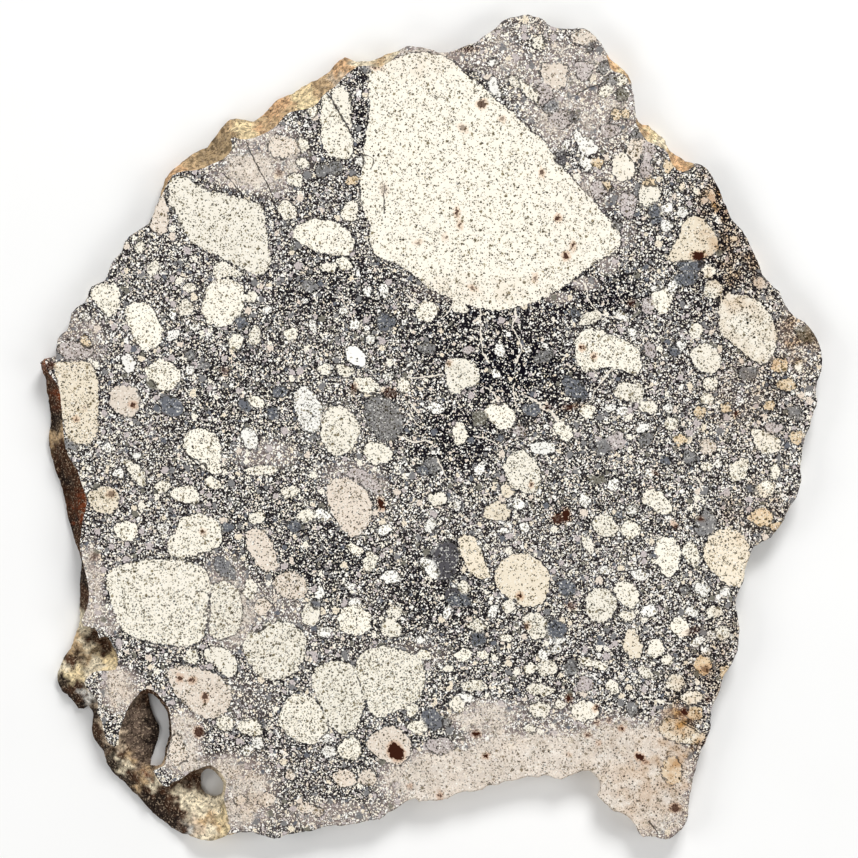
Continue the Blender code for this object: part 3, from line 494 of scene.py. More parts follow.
# Pale hairline veins.
VEINS: tuple[Readings, ...] = (
    ((583, 282), (587, 290), (588, 298), (592, 306), (597, 312), (612, 317), (618, 318)),
    ((515, 307), (516, 317), (512, 325), (514, 331), (519, 338), (521, 345), (521, 352),
     (518, 358), (516, 363)),
    ((515, 383), (513, 390), (514, 397), (516, 407)),
    ((408, 377), (417, 378), (432, 376), (443, 374)),
    ((482, 386), (488, 388), (493, 393), (499, 402)),
    ((518, 393), (527, 396), (535, 401), (543, 405), (550, 410), (557, 418), (562, 423)),
    ((537, 403), (545, 410), (553, 415), (558, 422)),
    ((592, 400), (594, 392), (600, 384), (605, 378), (608, 372), (614, 370)),
    ((408, 400), (413, 405), (417, 413)),
    ((407, 412), (415, 422), (421, 429)),
    ((473, 436), (483, 438), (492, 441), (502, 447)),
    ((407, 295), (413, 300), (419, 305), (423, 308)),
    ((440, 320), (448, 312), (454, 304)),
    ((480, 307), (481, 323), (481, 340), (483, 353), (490, 363)),
    ((398, 436), (414, 442), (427, 440), (436, 448)),
    ((437, 458), (444, 473), (452, 484)),
    ((560, 53), (571, 45)),
    ((599, 79), (610, 71)),
    ((696, 476), (700, 484), (703, 492)),
    ((340, 292), (345, 305), (352, 318)),
)

# Areas of the ground: across, down, reach across, reach down, and what is added there to its
# darkness, its softness and its warm stain.
ZONES: Readings = (
    (480, 340, 100, 55, 0.55, 0.0, 0.0), (590, 295, 75, 34, 0.6, 0.0, 0.0),
    (455, 440, 60, 50, 0.6, 0.0, 0.0), (530, 385, 75, 45, 0.5, 0.0, 0.0),
    (335, 285, 75, 40, 0.42, 0.0, 0.0), (230, 400, 80, 60, 0.2, 0.0, 0.0),
    (440, 585, 60, 50, 0.42, 0.0, 0.0), (330, 560, 60, 45, 0.4, 0.0, 0.0),
    (250, 500, 60, 50, 0.18, 0.0, 0.0), (640, 385, 60, 40, 0.12, 0.0, 0.0),
    (700, 300, 35, 50, 0.35, 0.0, 0.0), (655, 245, 40, 30, 0.2, 0.0, 0.0),
    (310, 165, 20, 40, 0.3, 0.0, 0.0), (360, 105, 9, 50, 0.5, -0.2, 0.0),
    (530, 665, 50, 35, 0.15, 0.0, 0.0), (385, 625, 35, 25, 0.12, 0.0, 0.0),
    (470, 640, 40, 30, 0.15, 0.0, 0.0), (600, 490, 60, 45, 0.1, 0.0, 0.0),
    (90, 455, 50, 40, -0.08, 0.0, 0.0), (240, 350, 60, 40, 0.1, 0.0, 0.0),
    (575, 90, 80, 70, -0.3, 0.5, 0.02), (640, 150, 60, 50, -0.15, 0.2, 0.1),
    (270, 160, 50, 45, -0.3, 0.6, 0.0), (235, 172, 40, 22, -0.25, 0.4, 0.05),
    (600, 190, 40, 30, -0.1, 0.3, 0.0), (75, 340, 45, 40, -0.15, 0.4, 0.05),
    (540, 775, 130, 46, -0.5, 0.92, 0.06), (430, 780, 70, 38, -0.3, 0.7, 0.05),
    (530, 725, 110, 34, -0.25, 0.35, 0.03), (235, 790, 50, 46, -0.2, 0.35, 0.1),
    (125, 690, 26, 34, -0.2, 0.3, 0.1), (200, 810, 30, 20, -0.2, 0.3, 0.1),
    (480, 715, 40, 20, -0.2, 0.4, 0.0), (630, 770, 60, 60, -0.5, 0.92, 0.16),
    (655, 800, 50, 60, -0.3, 0.6, 0.26), (680, 745, 30, 50, 0.05, 0.25, 0.6),
    (225, 600, 35, 60, -0.3, 0.5, 0.0), (270, 620, 60, 50, -0.15, 0.35, 0.0),
    (230, 700, 70, 40, 0.0, 0.25, 0.0), (90, 590, 18, 60, -0.3, 0.6, 0.06),
    (180, 745, 28, 40, -0.3, 0.7, 0.04), (220, 765, 40, 14, 0.15, 0.2, 0.0),
    (410, 655, 60, 20, -0.1, 0.3, 0.0), (735, 235, 42, 80, 0.46, 0.0, 0.65),
    (715, 185, 30, 40, 0.12, 0.15, 0.45), (770, 340, 80, 90, -0.05, 0.1, 0.2),
    (800, 340, 30, 40, 0.0, 0.2, 0.45), (760, 515, 60, 40, -0.05, 0.15, 0.3),
    (700, 700, 40, 60, 0.1, 0.0, 0.45), (720, 640, 30, 40, 0.12, 0.0, 0.25),
    (280, 780, 90, 50, 0.06, 0.16, 0.1), (250, 825, 90, 16, 0.0, 0.2, 0.03),
    (350, 815, 70, 18, -0.1, 0.4, 0.03),
    (110, 690, 22, 30, -0.1, 0.25, 0.1), (125, 670, 20, 20, 0.15, 0.0, 0.0),
    (265, 455, 45, 22, -0.2, 0.4, 0.0), (350, 475, 45, 20, -0.2, 0.35, 0.0),
    (750, 420, 60, 60, 0.0, 0.05, 0.14), (520, 20, 60, 20, -0.1, 0.25, 0.1),
    (160, 490, 60, 50, 0.05, 0.0, 0.02), (150, 540, 60, 40, -0.05, 0.1, 0.0),
    (425, 60, 55, 26, 0.1, 0.6, 0.12), (572, 222, 32, 60, 0.1, 0.35, 0.0),
    (475, 290, 80, 18, 0.1, 0.3, 0.12), (165, 605, 45, 50, 0.0, 0.3, 0.0),
    (497, 56, 30, 30, -0.3, 0.4, 0.0), (553, 132, 16, 34, -0.2, 0.2, 0.0),
    (560, 298, 20, 8, -0.6, 0.4, 0.0), (586, 284, 18, 9, -0.6, 0.45, 0.0),
    (608, 264, 14, 13, -0.6, 0.45, 0.0), (625, 235, 18, 22, -0.2, 0.3, 0.0),
    (740, 258, 24, 24, -0.25, 0.1, 0.0), (363, 170, 8, 34, 0.4, -0.3, 0.0),
    (362, 318, 22, 15, 0.35, 0.0, 0.0), (425, 388, 20, 18, 0.3, 0.0, 0.0),
    (380, 490, 14, 14, -0.2, 0.35, 0.0), (675, 715, 22, 12, -0.3, 0.4, 0.1),
    (385, 418, 17, 22, 0.0, 0.3, 0.0), (112, 620, 14, 20, -0.3, 0.45, 0.0),
    (122, 690, 22, 26, -0.15, 0.3, 0.0), (240, 800, 40, 30, -0.2, 0.2, 0.05),
    (720, 410, 50, 40, -0.12, 0.1, 0.03), (130, 440, 40, 30, -0.12, 0.1, 0.0),
    (660, 745, 34, 24, -0.2, 0.3, 0.0),
)

# Finish of the natural outside near each reading: across, down. The DARK and BROWN spots in hollows,
# under lumps and round the openings are partly painted shade. The WHITE spots are painted highlights
# on lit lumps, and the YELLOW spots and some CREAM spots on lit lumps and slopes are partly painted
# highlight.
CRUST_AND_PAINTED_LIGHT_SPOTS: dict[CrustAndPaintedLight, Readings] = {
    CrustAndPaintedLight.TAN: (
        (164, 188), (195, 161), (186, 166), (228, 128), (260, 120), (268, 126), (318, 88),
        (326, 82), (290, 108), (627, 75), (669, 150), (691, 167), (50, 437), (58, 435),
        (75, 646), (128, 760), (147, 771), (141, 783), (205, 820), (218, 826), (380, 60)),
    CrustAndPaintedLight.DUSKY: ((208, 153), (214, 146), (222, 137), (201, 156), (225, 145), (90, 656), (640, 128)),
    # Partly painted highlight on lit lower walls and ledges.
    CrustAndPaintedLight.YELLOW: (
        (240, 127), (250, 128), (300, 99), (297, 103), (308, 97), (656, 136), (651, 132),
        (620, 69), (70, 676), (78, 675), (106, 661), (112, 658), (222, 815), (221, 829)),
    CrustAndPaintedLight.ORANGE: (
        (171, 175), (179, 167), (272, 112), (278, 106), (285, 100), (338, 68), (344, 63),
        (349, 66), (612, 64), (643, 128), (674, 160), (681, 164), (684, 168), (263, 130)),
    CrustAndPaintedLight.RUST: ((47, 364), (52, 368), (58, 398), (82, 505), (147, 776), (80, 518)),
    CrustAndPaintedLight.CREAM: (
        (356, 64), (364, 63), (372, 62), (395, 54), (660, 139), (664, 143), (86, 648), (90, 667),
        (97, 663), (81, 625), (64, 669), (118, 757), (126, 768), (155, 785), (150, 781),
        (182, 796), (178, 792), (192, 801), (201, 806), (198, 812), (210, 831), (206, 833),
        (186, 804), (213, 806), (84, 617)),
    CrustAndPaintedLight.BUFF: ((110, 745), (104, 690), (112, 700), (105, 710), (103, 722), (113, 735), (335, 78),
                 (200, 826), (193, 833), (120, 747)),
    # Painted highlights on lit lumps.
    CrustAndPaintedLight.WHITE: ((86, 695), (188, 832)),
    CrustAndPaintedLight.ASH: (
        (128, 714), (133, 722), (128, 730), (140, 728), (146, 716), (135, 740), (145, 737),
        (128, 745), (143, 752), (138, 762), (145, 763)),
    # Brown crust, and partly painted shade in shadowed hollows.
    CrustAndPaintedLight.BROWN: (
        (50, 380), (53, 400), (60, 450), (56, 445), (65, 470), (70, 490), (76, 512), (78, 532),
        (79, 548), (84, 590), (85, 605), (94, 635), (104, 644), (108, 651), (75, 659), (67, 661),
        (80, 690), (72, 688), (95, 727), (99, 737), (112, 752), (133, 776), (164, 794),
        (175, 786), (190, 778), (195, 784), (150, 700), (122, 752), (125, 757), (76, 704), (170, 803),
        (178, 812), (150, 792), (60, 465), (182, 830)),
    # Painted shade in hollows, under lumps and round the openings, over dark crust.
    CrustAndPaintedLight.DARK: (
        (52, 420), (46, 410), (62, 480), (72, 525), (80, 570), (82, 580), (62, 682), (82, 706),
        (116, 759), (147, 798),
        (93, 714), (92, 722), (110, 766), (118, 778), (150, 724), (150, 744), (155, 735),
        (150, 812), (165, 818), (158, 802), (142, 800), (175, 822), (130, 788), (103, 745),
        (68, 698), (57, 430)),
}

# Where the edge of the slice is a plain break, with no crust on it.
BARE_SPOTS: Readings = (
    (156, 205), (145, 228), (124, 246), (108, 272), (90, 290), (72, 315), (57, 345), (44, 358),
    (404, 50), (430, 50), (450, 52), (475, 43), (500, 24), (530, 16), (560, 29), (590, 31),
    (604, 48), (632, 88), (635, 108), (700, 166), (715, 182), (725, 205), (745, 235),
    (760, 268), (780, 295), (800, 322), (820, 350), (821, 372), (815, 400), (803, 440),
    (800, 480), (788, 510), (770, 538), (750, 555), (742, 585), (736, 610), (738, 645),
    (722, 680), (710, 720), (696, 766), (688, 800), (680, 830), (650, 838), (630, 820),
    (600, 797), (598, 780), (580, 772), (540, 777), (500, 784), (450, 797), (415, 800),
    (380, 818), (330, 826), (275, 838), (240, 833),
)


def rounded(corners: np.ndarray, passes: int) -> np.ndarray:
    """A closed outline with its corners cut.

    Args:
        corners: the outline, one row for each corner.
        passes: how many times every corner is cut.

    Returns:
        The new outline, with twice the corners for each pass.
    """
    for _ in range(passes):
        ahead = np.roll(corners, -1, axis=0)
        pairs = np.stack([0.82 * corners + 0.18 * ahead, 0.18 * corners + 0.82 * ahead], axis=1)
        corners = pairs.reshape(-1, 2)
    return corners


def within(places: np.ndarray, corners: np.ndarray) -> np.ndarray:
    """Whether places lie inside a closed outline.

    Args:
        places: X and Y, one row for each place.
        corners: the outline, one row for each corner.

    Returns:
        True for each place inside it.
    """
    inside = np.zeros(len(places), dtype=bool)
    for start, end in zip(corners, np.roll(corners, -1, axis=0)):
        if start[1] != end[1]:
            crosses = (places[:, 1] < start[1]) != (places[:, 1] < end[1])
            slope = (end[0] - start[0]) / (end[1] - start[1])
            inside ^= crosses & (places[:, 0] < start[0] + (places[:, 1] - start[1]) * slope)
    return inside


def line_reach(places: np.ndarray, corners: np.ndarray) -> tuple[np.ndarray, np.ndarray]:
    """How far places lie from an open line.

    Args:
        places: X and Y, one row for each place.
        corners: the line, one row for each corner.

    Returns:
        Each place's distance, positive on the line's left, and whether it lies beside the line and
        not past one of its ends.
    """
    reach = np.full(len(places), np.inf)
    beside = np.zeros(len(places), dtype=bool)
    last = len(corners) - 2
    for index, (start, end) in enumerate(zip(corners[:-1], corners[1:])):
        side = end - start
        along = (places - start) @ side / (side @ side)
        gap = places - start - np.clip(along, 0.0, 1.0)[:, None] * side
        distance = np.linalg.norm(gap, axis=1)
        closer = distance < np.abs(reach)
        left = side[0] * gap[:, 1] - side[1] * gap[:, 0] >= 0.0
        reach = np.where(closer, np.where(left, distance, -distance), reach)
        past = ((index == 0) & (along < 0.0)) | ((index == last) & (along > 1.0))
        beside = np.where(closer, ~past, beside)
    return reach, beside


def outline_reach(places: np.ndarray, corners: np.ndarray) -> np.ndarray:
    """How far places lie from a closed outline, negative inside it.

    Args:
        places: X and Y, one row for each place.
        corners: the outline, one row for each corner.

    Returns:
        The distance of each place.
    """
    closed = np.vstack([corners, corners[:1]])
    distance = np.abs(line_reach(places, closed)[0])
    return np.where(within(places, corners), -distance, distance)


def spot_share(places: np.ndarray, spot: Sequence[float]) -> np.ndarray:
    """How far out places lie in an oval spot.

    Args:
        places: X and Y, one row for each place.
        spot: its reading: across, down, half-length, half-width and, if it has one, its turn.

    Returns:
        0 at the spot's middle, 1 at its edge and more beyond it.
    """
    turn = np.radians(spot[4]) if len(spot) == 5 else 0.0
    gap = places - SHEET.to_plan([spot])
    along = gap[:, 0] * np.cos(turn) + gap[:, 1] * np.sin(turn)
    across = gap[:, 1] * np.cos(turn) - gap[:, 0] * np.sin(turn)
    return np.hypot(along / (spot[2] * SHEET.step), across / (spot[3] * SHEET.step))


@dataclass(frozen=True)
class Lump:
    """A fragment as a body in the rock: widest in one plane, and narrowing away from it."""

    tone: Tone
    specks: float
    corners: np.ndarray
    half: float
    depth: float
    level: float

    def reach(self, places: np.ndarray) -> np.ndarray:
        """How far places lie from the fragment, negative inside it.

        Args:
            places: X, Y and Z, one row for each place.

        Returns:
            The distance of each place.
        """
        share = np.abs(places[:, 2] - self.level) / self.depth
        inset = self.half * (1.0 - np.sqrt(np.clip(1.0 - share**2, 0.0, 1.0)))
        beyond = np.clip(share - 1.0, 0.0, None) * self.depth
        return outline_reach(places[:, :2], self.corners) + inset + beyond


@dataclass
class Fragments:
    """Every fragment large enough to be placed one by one.

    The read ones are widest in the sawn face. The strewn ones come in from the back, where no
    reading exists.
    """

    thickness: float = 6.0
    strewn: int = 300
    strewn_half: tuple[float, float] = (0.9, 4.2)
    strewn_reach: float = 80.0
    strewn_skew: float = 2.2
    strewn_narrow: tuple[float, float] = (0.6, 1.0)
    strewn_specks: tuple[float, float] = (0.3, 0.8)
    tone_shares: tuple[float, ...] = (0.2, 0.4, 0.1, 0.05, 0.08, 0.05, 0.04, 0.02, 0.04, 0.02)
    small_specks: tuple[float, float] = (0.45, 1.0)
    oval_corners: tuple[int, int] = (6, 9)
    corner_slip: float = 0.33
    corner_spread: tuple[float, float] = (0.92, 1.2)
    core_share: float = 0.8
    depth_share: tuple[float, float] = (0.7, 1.4)
    lumps: list[Lump] = field(default_factory=list)

    def __post_init__(self) -> None:
        """Makes the bodies from the readings."""
        self.chance = np.random.default_rng(SEED)
        for clast in LARGE_CLASTS:
            outline = rounded(SHEET.to_plan(clast.outline), 1)
            self.add(clast.tone, clast.specks, outline, self.thickness)
        for tone, ovals in SMALL_CLASTS.items():
            for oval in ovals:
                middle = SHEET.to_plan([oval])[0]
                outline = self.oval(middle, oval[2] * SHEET.step, oval[3] * SHEET.step, oval[4])
                self.add(tone, self.chance.uniform(*self.small_specks), outline, self.thickness)
        for _ in range(self.strewn):
            middle = self.chance.uniform(-self.strewn_reach, self.strewn_reach, 2)
            large = self.chance.random() ** self.strewn_skew
            half = self.strewn_half[0] + np.ptp(self.strewn_half) * large
            outline = self.oval(middle, half, half * self.chance.uniform(*self.strewn_narrow),
                                self.chance.uniform(0.0, 180.0))
            tone = self.chance.choice(list(Tone), p=self.tone_shares)
            self.add(tone, self.chance.uniform(*self.strewn_specks), outline, 0.0)

    def oval(self, middle: np.ndarray, half: float, narrow: float, turn: float) -> np.ndarray:
        """An oval fragment's outline, with uneven corners.

        Args:
            middle: its X and Y.
            half: half its length.
            narrow: half its width.
            turn: degrees from the X axis to its length, counter-clockwise.

        Returns:
            The outline, one row for each corner.
        """
        count = int(self.chance.integers(*self.oval_corners))
        slip = self.chance.uniform(-self.corner_slip, self.corner_slip, count)
        angles = (np.arange(count) + slip) * 2 * np.pi / count
        spread = self.chance.uniform(*self.corner_spread, count)
        corners = np.stack([half * np.cos(angles), narrow * np.sin(angles)], axis=1)
        turn = np.radians(turn)
        turned = corners @ [[np.cos(turn), np.sin(turn)], [-np.sin(turn), np.cos(turn)]]
        return middle + rounded(turned * spread[:, None], 1)

    def add(self, tone: Tone, specks: float, outline: np.ndarray, level: float) -> None:
        """Adds one body.

        Args:
            tone: its colour.
            specks: how densely dark grains fill it.
            outline: its widest section.
            level: the height of that section.
        """
        gap = outline - outline.mean(axis=0)
        half = self.core_share * float(np.linalg.norm(gap, axis=1).mean())
        depth = half * self.chance.uniform(*self.depth_share)
        self.lumps.append(Lump(tone, specks, outline, half, depth, level))


@dataclass
class RockMap:
    """What the rock is at each vertex, as values that the finish turns into crisp shapes.

    Distances are in millimetres and negative inside a shape. A line's distance changes sign across
    it, so that a thin line stays thin between vertices that lie further apart. plain is the
    darkness, softness and warm stain of the ground outside every zone.
    """

    fragments: Fragments
    far: float = 9.0
    margin: float = 2.5
    line_margin: float = 1.3
    touch: float = 0.3
    tone_spread: tuple[float, float] = (0.9, 1.03)
    plain: tuple[float, float, float] = (0.3, 0.0, 0.02)
    zone_end: float = 1.15
    zone_blend: float = 0.7
    crust_core: float = 0.25
    crust_fall: float = 2.5

    def clasts(self, places: np.ndarray) -> dict[str, np.ndarray]:
        """The nearest fragment, and where two of them touch.

        Args:
            places: X, Y and Z, one row for each vertex.

        Returns:
            The reach, tone and contact columns.
        """
        count = len(places)
        first, second = np.full(count, self.far), np.full(count, self.far)
        own, other = np.zeros(count, dtype=int), np.zeros(count, dtype=int)
        for index, lump in enumerate(self.fragments.lumps):
            low, high = lump.corners.min(axis=0), lump.corners.max(axis=0)
            close = (places[:, :2] > low - self.margin) & (places[:, :2] < high + self.margin)
            near = np.flatnonzero(close.all(axis=1))
            if not len(near):
                continue
            reach = lump.reach(places[near])
            wins = reach < first[near]
            seconds = ~wins & (reach < second[near])
            won, next_to = near[wins], near[seconds]
            second[won], other[won] = first[won], own[won]
            first[won], own[won] = reach[wins], index
            second[next_to], other[next_to] = reach[seconds], index
        half_gap = (second - first) / 2.0
        contact = np.where(own < other, half_gap, -half_gap)
        touching = (second < self.touch) & (half_gap < self.line_margin)
        tones = np.array([(*linear(*lump.tone.value)[:3], lump.specks)
                          for lump in self.fragments.lumps])
        chance = np.random.default_rng(SEED)
        tones[1:, :3] *= chance.uniform(*self.tone_spread, (len(tones) - 1, 1))
        return {"reach": first, "tone": tones[own], "contact": contact, "touching": touching}

    def lines(self, plan: np.ndarray, lines: Sequence[Readings]) -> tuple[np.ndarray, np.ndarray]:
        """The nearest of some thin lines.

        Args:
            plan: X and Y, one row for each vertex.
            lines: the readings of each line.

        Returns:
            Its distance, with a sign for its side, and whether the vertex is close to it.
        """
        reach = np.full(len(plan), self.far)
        close = np.zeros(len(plan), dtype=bool)
        for readings in lines:
            corners = SHEET.to_plan(readings)
            low, high = corners.min(axis=0) - self.margin, corners.max(axis=0) + self.margin
            near = np.flatnonzero(((plan > low) & (plan < high)).all(axis=1))
            if len(near):
                found, beside = line_reach(plan[near], corners)
                closer = np.abs(found) < np.abs(reach[near])
                reach[near[closer]] = found[closer]
                close[near[closer]] = (beside & (np.abs(found) < self.line_margin))[closer]
        return reach, close

    def rust(self, plan: np.ndarray) -> tuple[np.ndarray, np.ndarray]:
        """The nearest rust spot.

        Args:
            plan: X and Y, one row for each vertex.

        Returns:
            Its distance and its strength.
        """
        reach, strength = np.full(len(plan), self.far), np.zeros(len(plan))
        for spot in RUST_SPOTS:
            found = (spot_share(plan, spot[:5]) - 1.0) * min(spot[2], spot[3]) * SHEET.step
            closer = found < reach
            reach[closer], strength[closer] = found[closer], spot[5]
        return reach, strength

    def ground(self, plan: np.ndarray) -> np.ndarray:
        """The kind of ground between the fragments.

        Args:
            plan: X and Y, one row for each vertex.

        Returns:
            Darkness, softness and warm stain, one row for each vertex.
        """
        found = np.tile(np.array(self.plain), (len(plan), 1))
        for zone in ZONES:
            inward = self.zone_end - spot_share(plan, zone[:4])
            share = np.clip(inward / self.zone_blend, 0.0, 1.0)
            found += (share * share * (3.0 - 2.0 * share))[:, None] * zone[4:]
        return found.clip(0.0, 1.0)

    def crust_and_painted_light(self, plan: np.ndarray) -> np.ndarray:
        """The finish of the natural outside, with the painted shade and painted highlights that some
        of its spots carry.

        Args:
            plan: X and Y, one row for each vertex.

        Returns:
            Its linear colour and its cover, one row for each vertex.
        """
        spots = [(place, crust_and_painted_light) for crust_and_painted_light, group in CRUST_AND_PAINTED_LIGHT_SPOTS.items() for place in group]
        spots += [(place, CrustAndPaintedLight.BARE) for place in BARE_SPOTS]
        middles = SHEET.to_plan([place for place, _ in spots])
        finishes = np.array([(*linear(*crust_and_painted_light.value[:3])[:3], crust_and_painted_light.value[3]) for _, crust_and_painted_light in spots])
        waver = 0.7 * np.sin(plan[:, ::-1] * 1.9 + 0.6) + 0.4 * np.sin(plan[:, ::-1] * 4.3 + 2.1)
        total, weights = np.zeros((len(plan), 4)), np.zeros(len(plan))
        for middle, finish in zip(middles, finishes):
            gap = ((plan + waver - middle) ** 2).sum(axis=1)
            weight = 1.0 / (gap + self.crust_core) ** self.crust_fall
            total += weight[:, None] * finish
            weights += weight
        return total / weights[:, None]

    def dress(self, mesh: bpy.types.Mesh) -> None:
        """Writes every value to the mesh's vertices.

        Args:
            mesh: the slice's mesh, in metres.
        """
        places = np.empty(len(mesh.vertices) * 3)
        mesh.vertices.foreach_get("co", places)
        places = places.reshape(-1, 3) / MM
        plan = places[:, :2]
        clasts = self.clasts(places)
        crack, cracked = self.lines(plan, CRACKS)
        vein, veined = self.lines(plan, VEINS)
        by_contact = clasts["touching"] & (~cracked | (np.abs(clasts["contact"]) < np.abs(crack)))
        crack = np.where(by_contact, clasts["contact"], crack)
        rust, rusty = self.rust(plan)
        write(mesh, "clast_reach", clasts["reach"])
        write(mesh, "clast_tone", clasts["tone"])
        write(mesh, "thin_lines", np.stack([crack, cracked | by_contact, vein, veined], axis=1))
        write(mesh, "ground", np.column_stack([self.ground(plan), rusty]))
        write(mesh, "rust_reach", rust)
        # This colour carries painted shade in hollows and painted highlights on lit lumps, as well as
        # the crust.
        write(mesh, "crust_and_painted_light", self.crust_and_painted_light(plan))


def write(mesh: bpy.types.Mesh, name: str, values: np.ndarray, domain: str = "POINT") -> None:
    """Adds an attribute.

    Args:
        mesh: the mesh that gets it.
        name: its name.
        values: one number, or one row of four, for each vertex or face.
        domain: POINT for vertices or FACE for faces.
    """
    kind, holder = ("FLOAT_COLOR", "color") if values.ndim > 1 else ("FLOAT", "value")
    layer = mesh.attributes.new(name, kind, domain)
    layer.data.foreach_set(holder, np.ascontiguousarray(values, dtype=np.float32).ravel())


@dataclass
class SliceMesh:
    """The slice's surface at a fine spacing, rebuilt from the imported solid."""

    thickness: float = 6.0
    face_spacing: float = 0.64
    back_spacing: float = 1.25
    rim_spacing: float = 0.78
    passes: int = 3
    weld_metres: float = 1e-7
    level_slip: float = 0.001
    level_normal: float = 0.9
    clearance: float = 0.75
    most_clearance: float = 0.8
    free_at_edge: float = 0.45
    free_after: float = 0.9

    def skin_of(self, face: bmesh.types.BMFace) -> Skin:
        """Which part of the skin a face of the solid belongs to.

        Args:
            face: the face.

        Returns:
            The part.
        """
        heights = [vertex.co.z / MM for vertex in face.verts]
        lowest, highest = self.level_slip, self.thickness - self.level_slip
        if min(heights) > highest and face.normal.z > self.level_normal:
            return Skin.FACE
        if max(heights) < lowest and face.normal.z < -self.level_normal:
            return Skin.BACK
        return Skin.RIM

    def refine_rim(self, rock: bmesh.types.BMesh) -> None:
        """Divides the rim's long edges.

        Args:
            rock: the solid without its two sawn faces.
        """
        for _ in range(self.passes):
            long = [edge for edge in rock.edges if edge.calc_length() > self.rim_spacing * MM]
            if not long:
                return
            bmesh.ops.subdivide_edges(rock, edges=long, cuts=1)
            corners = [face for face in rock.faces if len(face.verts) > 3]
            bmesh.ops.triangulate(rock, faces=corners)

    def open_loops(self, rock: bmesh.types.BMesh) -> list[list[bmesh.types.BMVert]]:
        """The closed rows of vertices round the holes that the sawn faces left.

        Args:
            rock: the solid without its two sawn faces.

        Returns:
            One list of vertices, in order, for each hole.
        """
        left = dict.fromkeys(edge for edge in rock.edges if edge.is_boundary)
        loops = []
        while left:
            edge = next(iter(left))
            del left[edge]
            row = [edge.verts[0], edge.verts[1]]
            while row[-1] is not row[0]:
                onward = next(e for e in row[-1].link_edges if e in left)
                del left[onward]
                row.append(onward.other_vert(row[-1]))
            loops.append(row[:-1])
        return loops

    def fill(self, rock: bmesh.types.BMesh, loops: list[list[bmesh.types.BMVert]],
             spacing: float, skin: Skin) -> None:
        """Lays even triangles between loops in one plane.

        Args:
            rock: the mesh that gets them.
            loops: the outer loop and any holes.
            spacing: the distance between neighbouring vertices.
            skin: the sawn face being laid.
        """
        rows = [np.array([vertex.co.xy for vertex in loop]) / MM for loop in loops]
        edge_places = np.vstack(rows)
        low, high = edge_places.min(axis=0), edge_places.max(axis=0)
        across = np.arange(low[0], high[0], spacing)
        down = np.arange(low[1], high[1], spacing * np.sqrt(0.75))
        grid = np.stack(np.meshgrid(across, down), axis=-1)
        grid[1::2, :, 0] += spacing / 2.0
        grid = grid.reshape(-1, 2)
        tree = kdtree.KDTree(len(edge_places))
        for index, place in enumerate(edge_places):
            tree.insert((*place, 0.0), index)
        tree.balance()
        inside = np.zeros(len(grid), dtype=bool)
        for row in rows:
            inside ^= within(grid, row)
        keep = min(self.clearance * spacing, self.most_clearance)
        grid = np.array([place for place in grid[inside] if tree.find((*place, 0.0))[2] > keep])
        places = np.vstack([edge_places, grid])
        links, start = [], 0
        for row in rows:
            ids = np.arange(start, start + len(row))
            links += list(zip(ids.tolist(), np.roll(ids, -1).tolist()))
            start += len(row)
        flat, _, corners, origins, _, _ = delaunay_2d_cdt(
            [Vector(place) for place in places.tolist()], links, [], 0, 1e-6)
        flat = np.array([tuple(place) for place in flat])
        corners = np.array(corners)
        inside = np.zeros(len(corners), dtype=bool)
        middles = flat[corners].mean(axis=1)
        for row in rows:
            inside ^= within(middles, row)
        old = [vertex for loop in loops for vertex in loop]
        height = old[0].co.z
        made = [old[source[0]] if source and source[0] < len(old)
                else rock.verts.new((place[0] * MM, place[1] * MM, height))
                for place, source in zip(flat, origins)]
        upward = skin is Skin.FACE
        for triangle in corners[inside]:
            first, second, third = flat[triangle]
            turn = np.cross(second - first, third - first)
            ordered = triangle if (turn > 0.0) == upward else triangle[::-1]
            rock.faces.new([made[index] for index in ordered]).material_index = skin.value

    def build(self, source: bpy.types.Mesh) -> bpy.types.Mesh:
        """Rebuilds the surface.

        Args:
            source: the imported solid's own mesh, which isn't changed.

        Returns:
            A new mesh with a face attribute for its natural skin and vertex ones for how freely
            the skin may be roughened.
        """
        rock = bmesh.new()
        rock.from_mesh(source)
        bmesh.ops.remove_doubles(rock, verts=rock.verts, dist=self.weld_metres)
        sawn = [face for face in rock.faces if self.skin_of(face) is not Skin.RIM]
        bmesh.ops.delete(rock, geom=sawn, context="FACES")
        self.refine_rim(rock)
        for face in rock.faces:
            face.material_index = Skin.RIM.value
        loops = self.open_loops(rock)
        middle = self.thickness * MM / 2.0
        upper = [loop for loop in loops if loop[0].co.z > middle]
        lower = [loop for loop in loops if loop[0].co.z < middle]
        edges = [vertex.co.copy() for loop in loops for vertex in loop]
        log.info("rim %d faces, %d upper and %d lower loops",
                 len(rock.faces), len(upper), len(lower))
        self.fill(rock, upper, self.face_spacing, Skin.FACE)
        self.fill(rock, lower, self.back_spacing, Skin.BACK)
        for edge in rock.edges:
            skins = {face.material_index for face in edge.link_faces}
            edge.smooth = len(skins) == 1
        for face in rock.faces:
            face.smooth = True
        mesh = bpy.data.meshes.new(NODE)
        rock.to_mesh(mesh)
        rock.free()
        self.mark(mesh, edges)
        return mesh

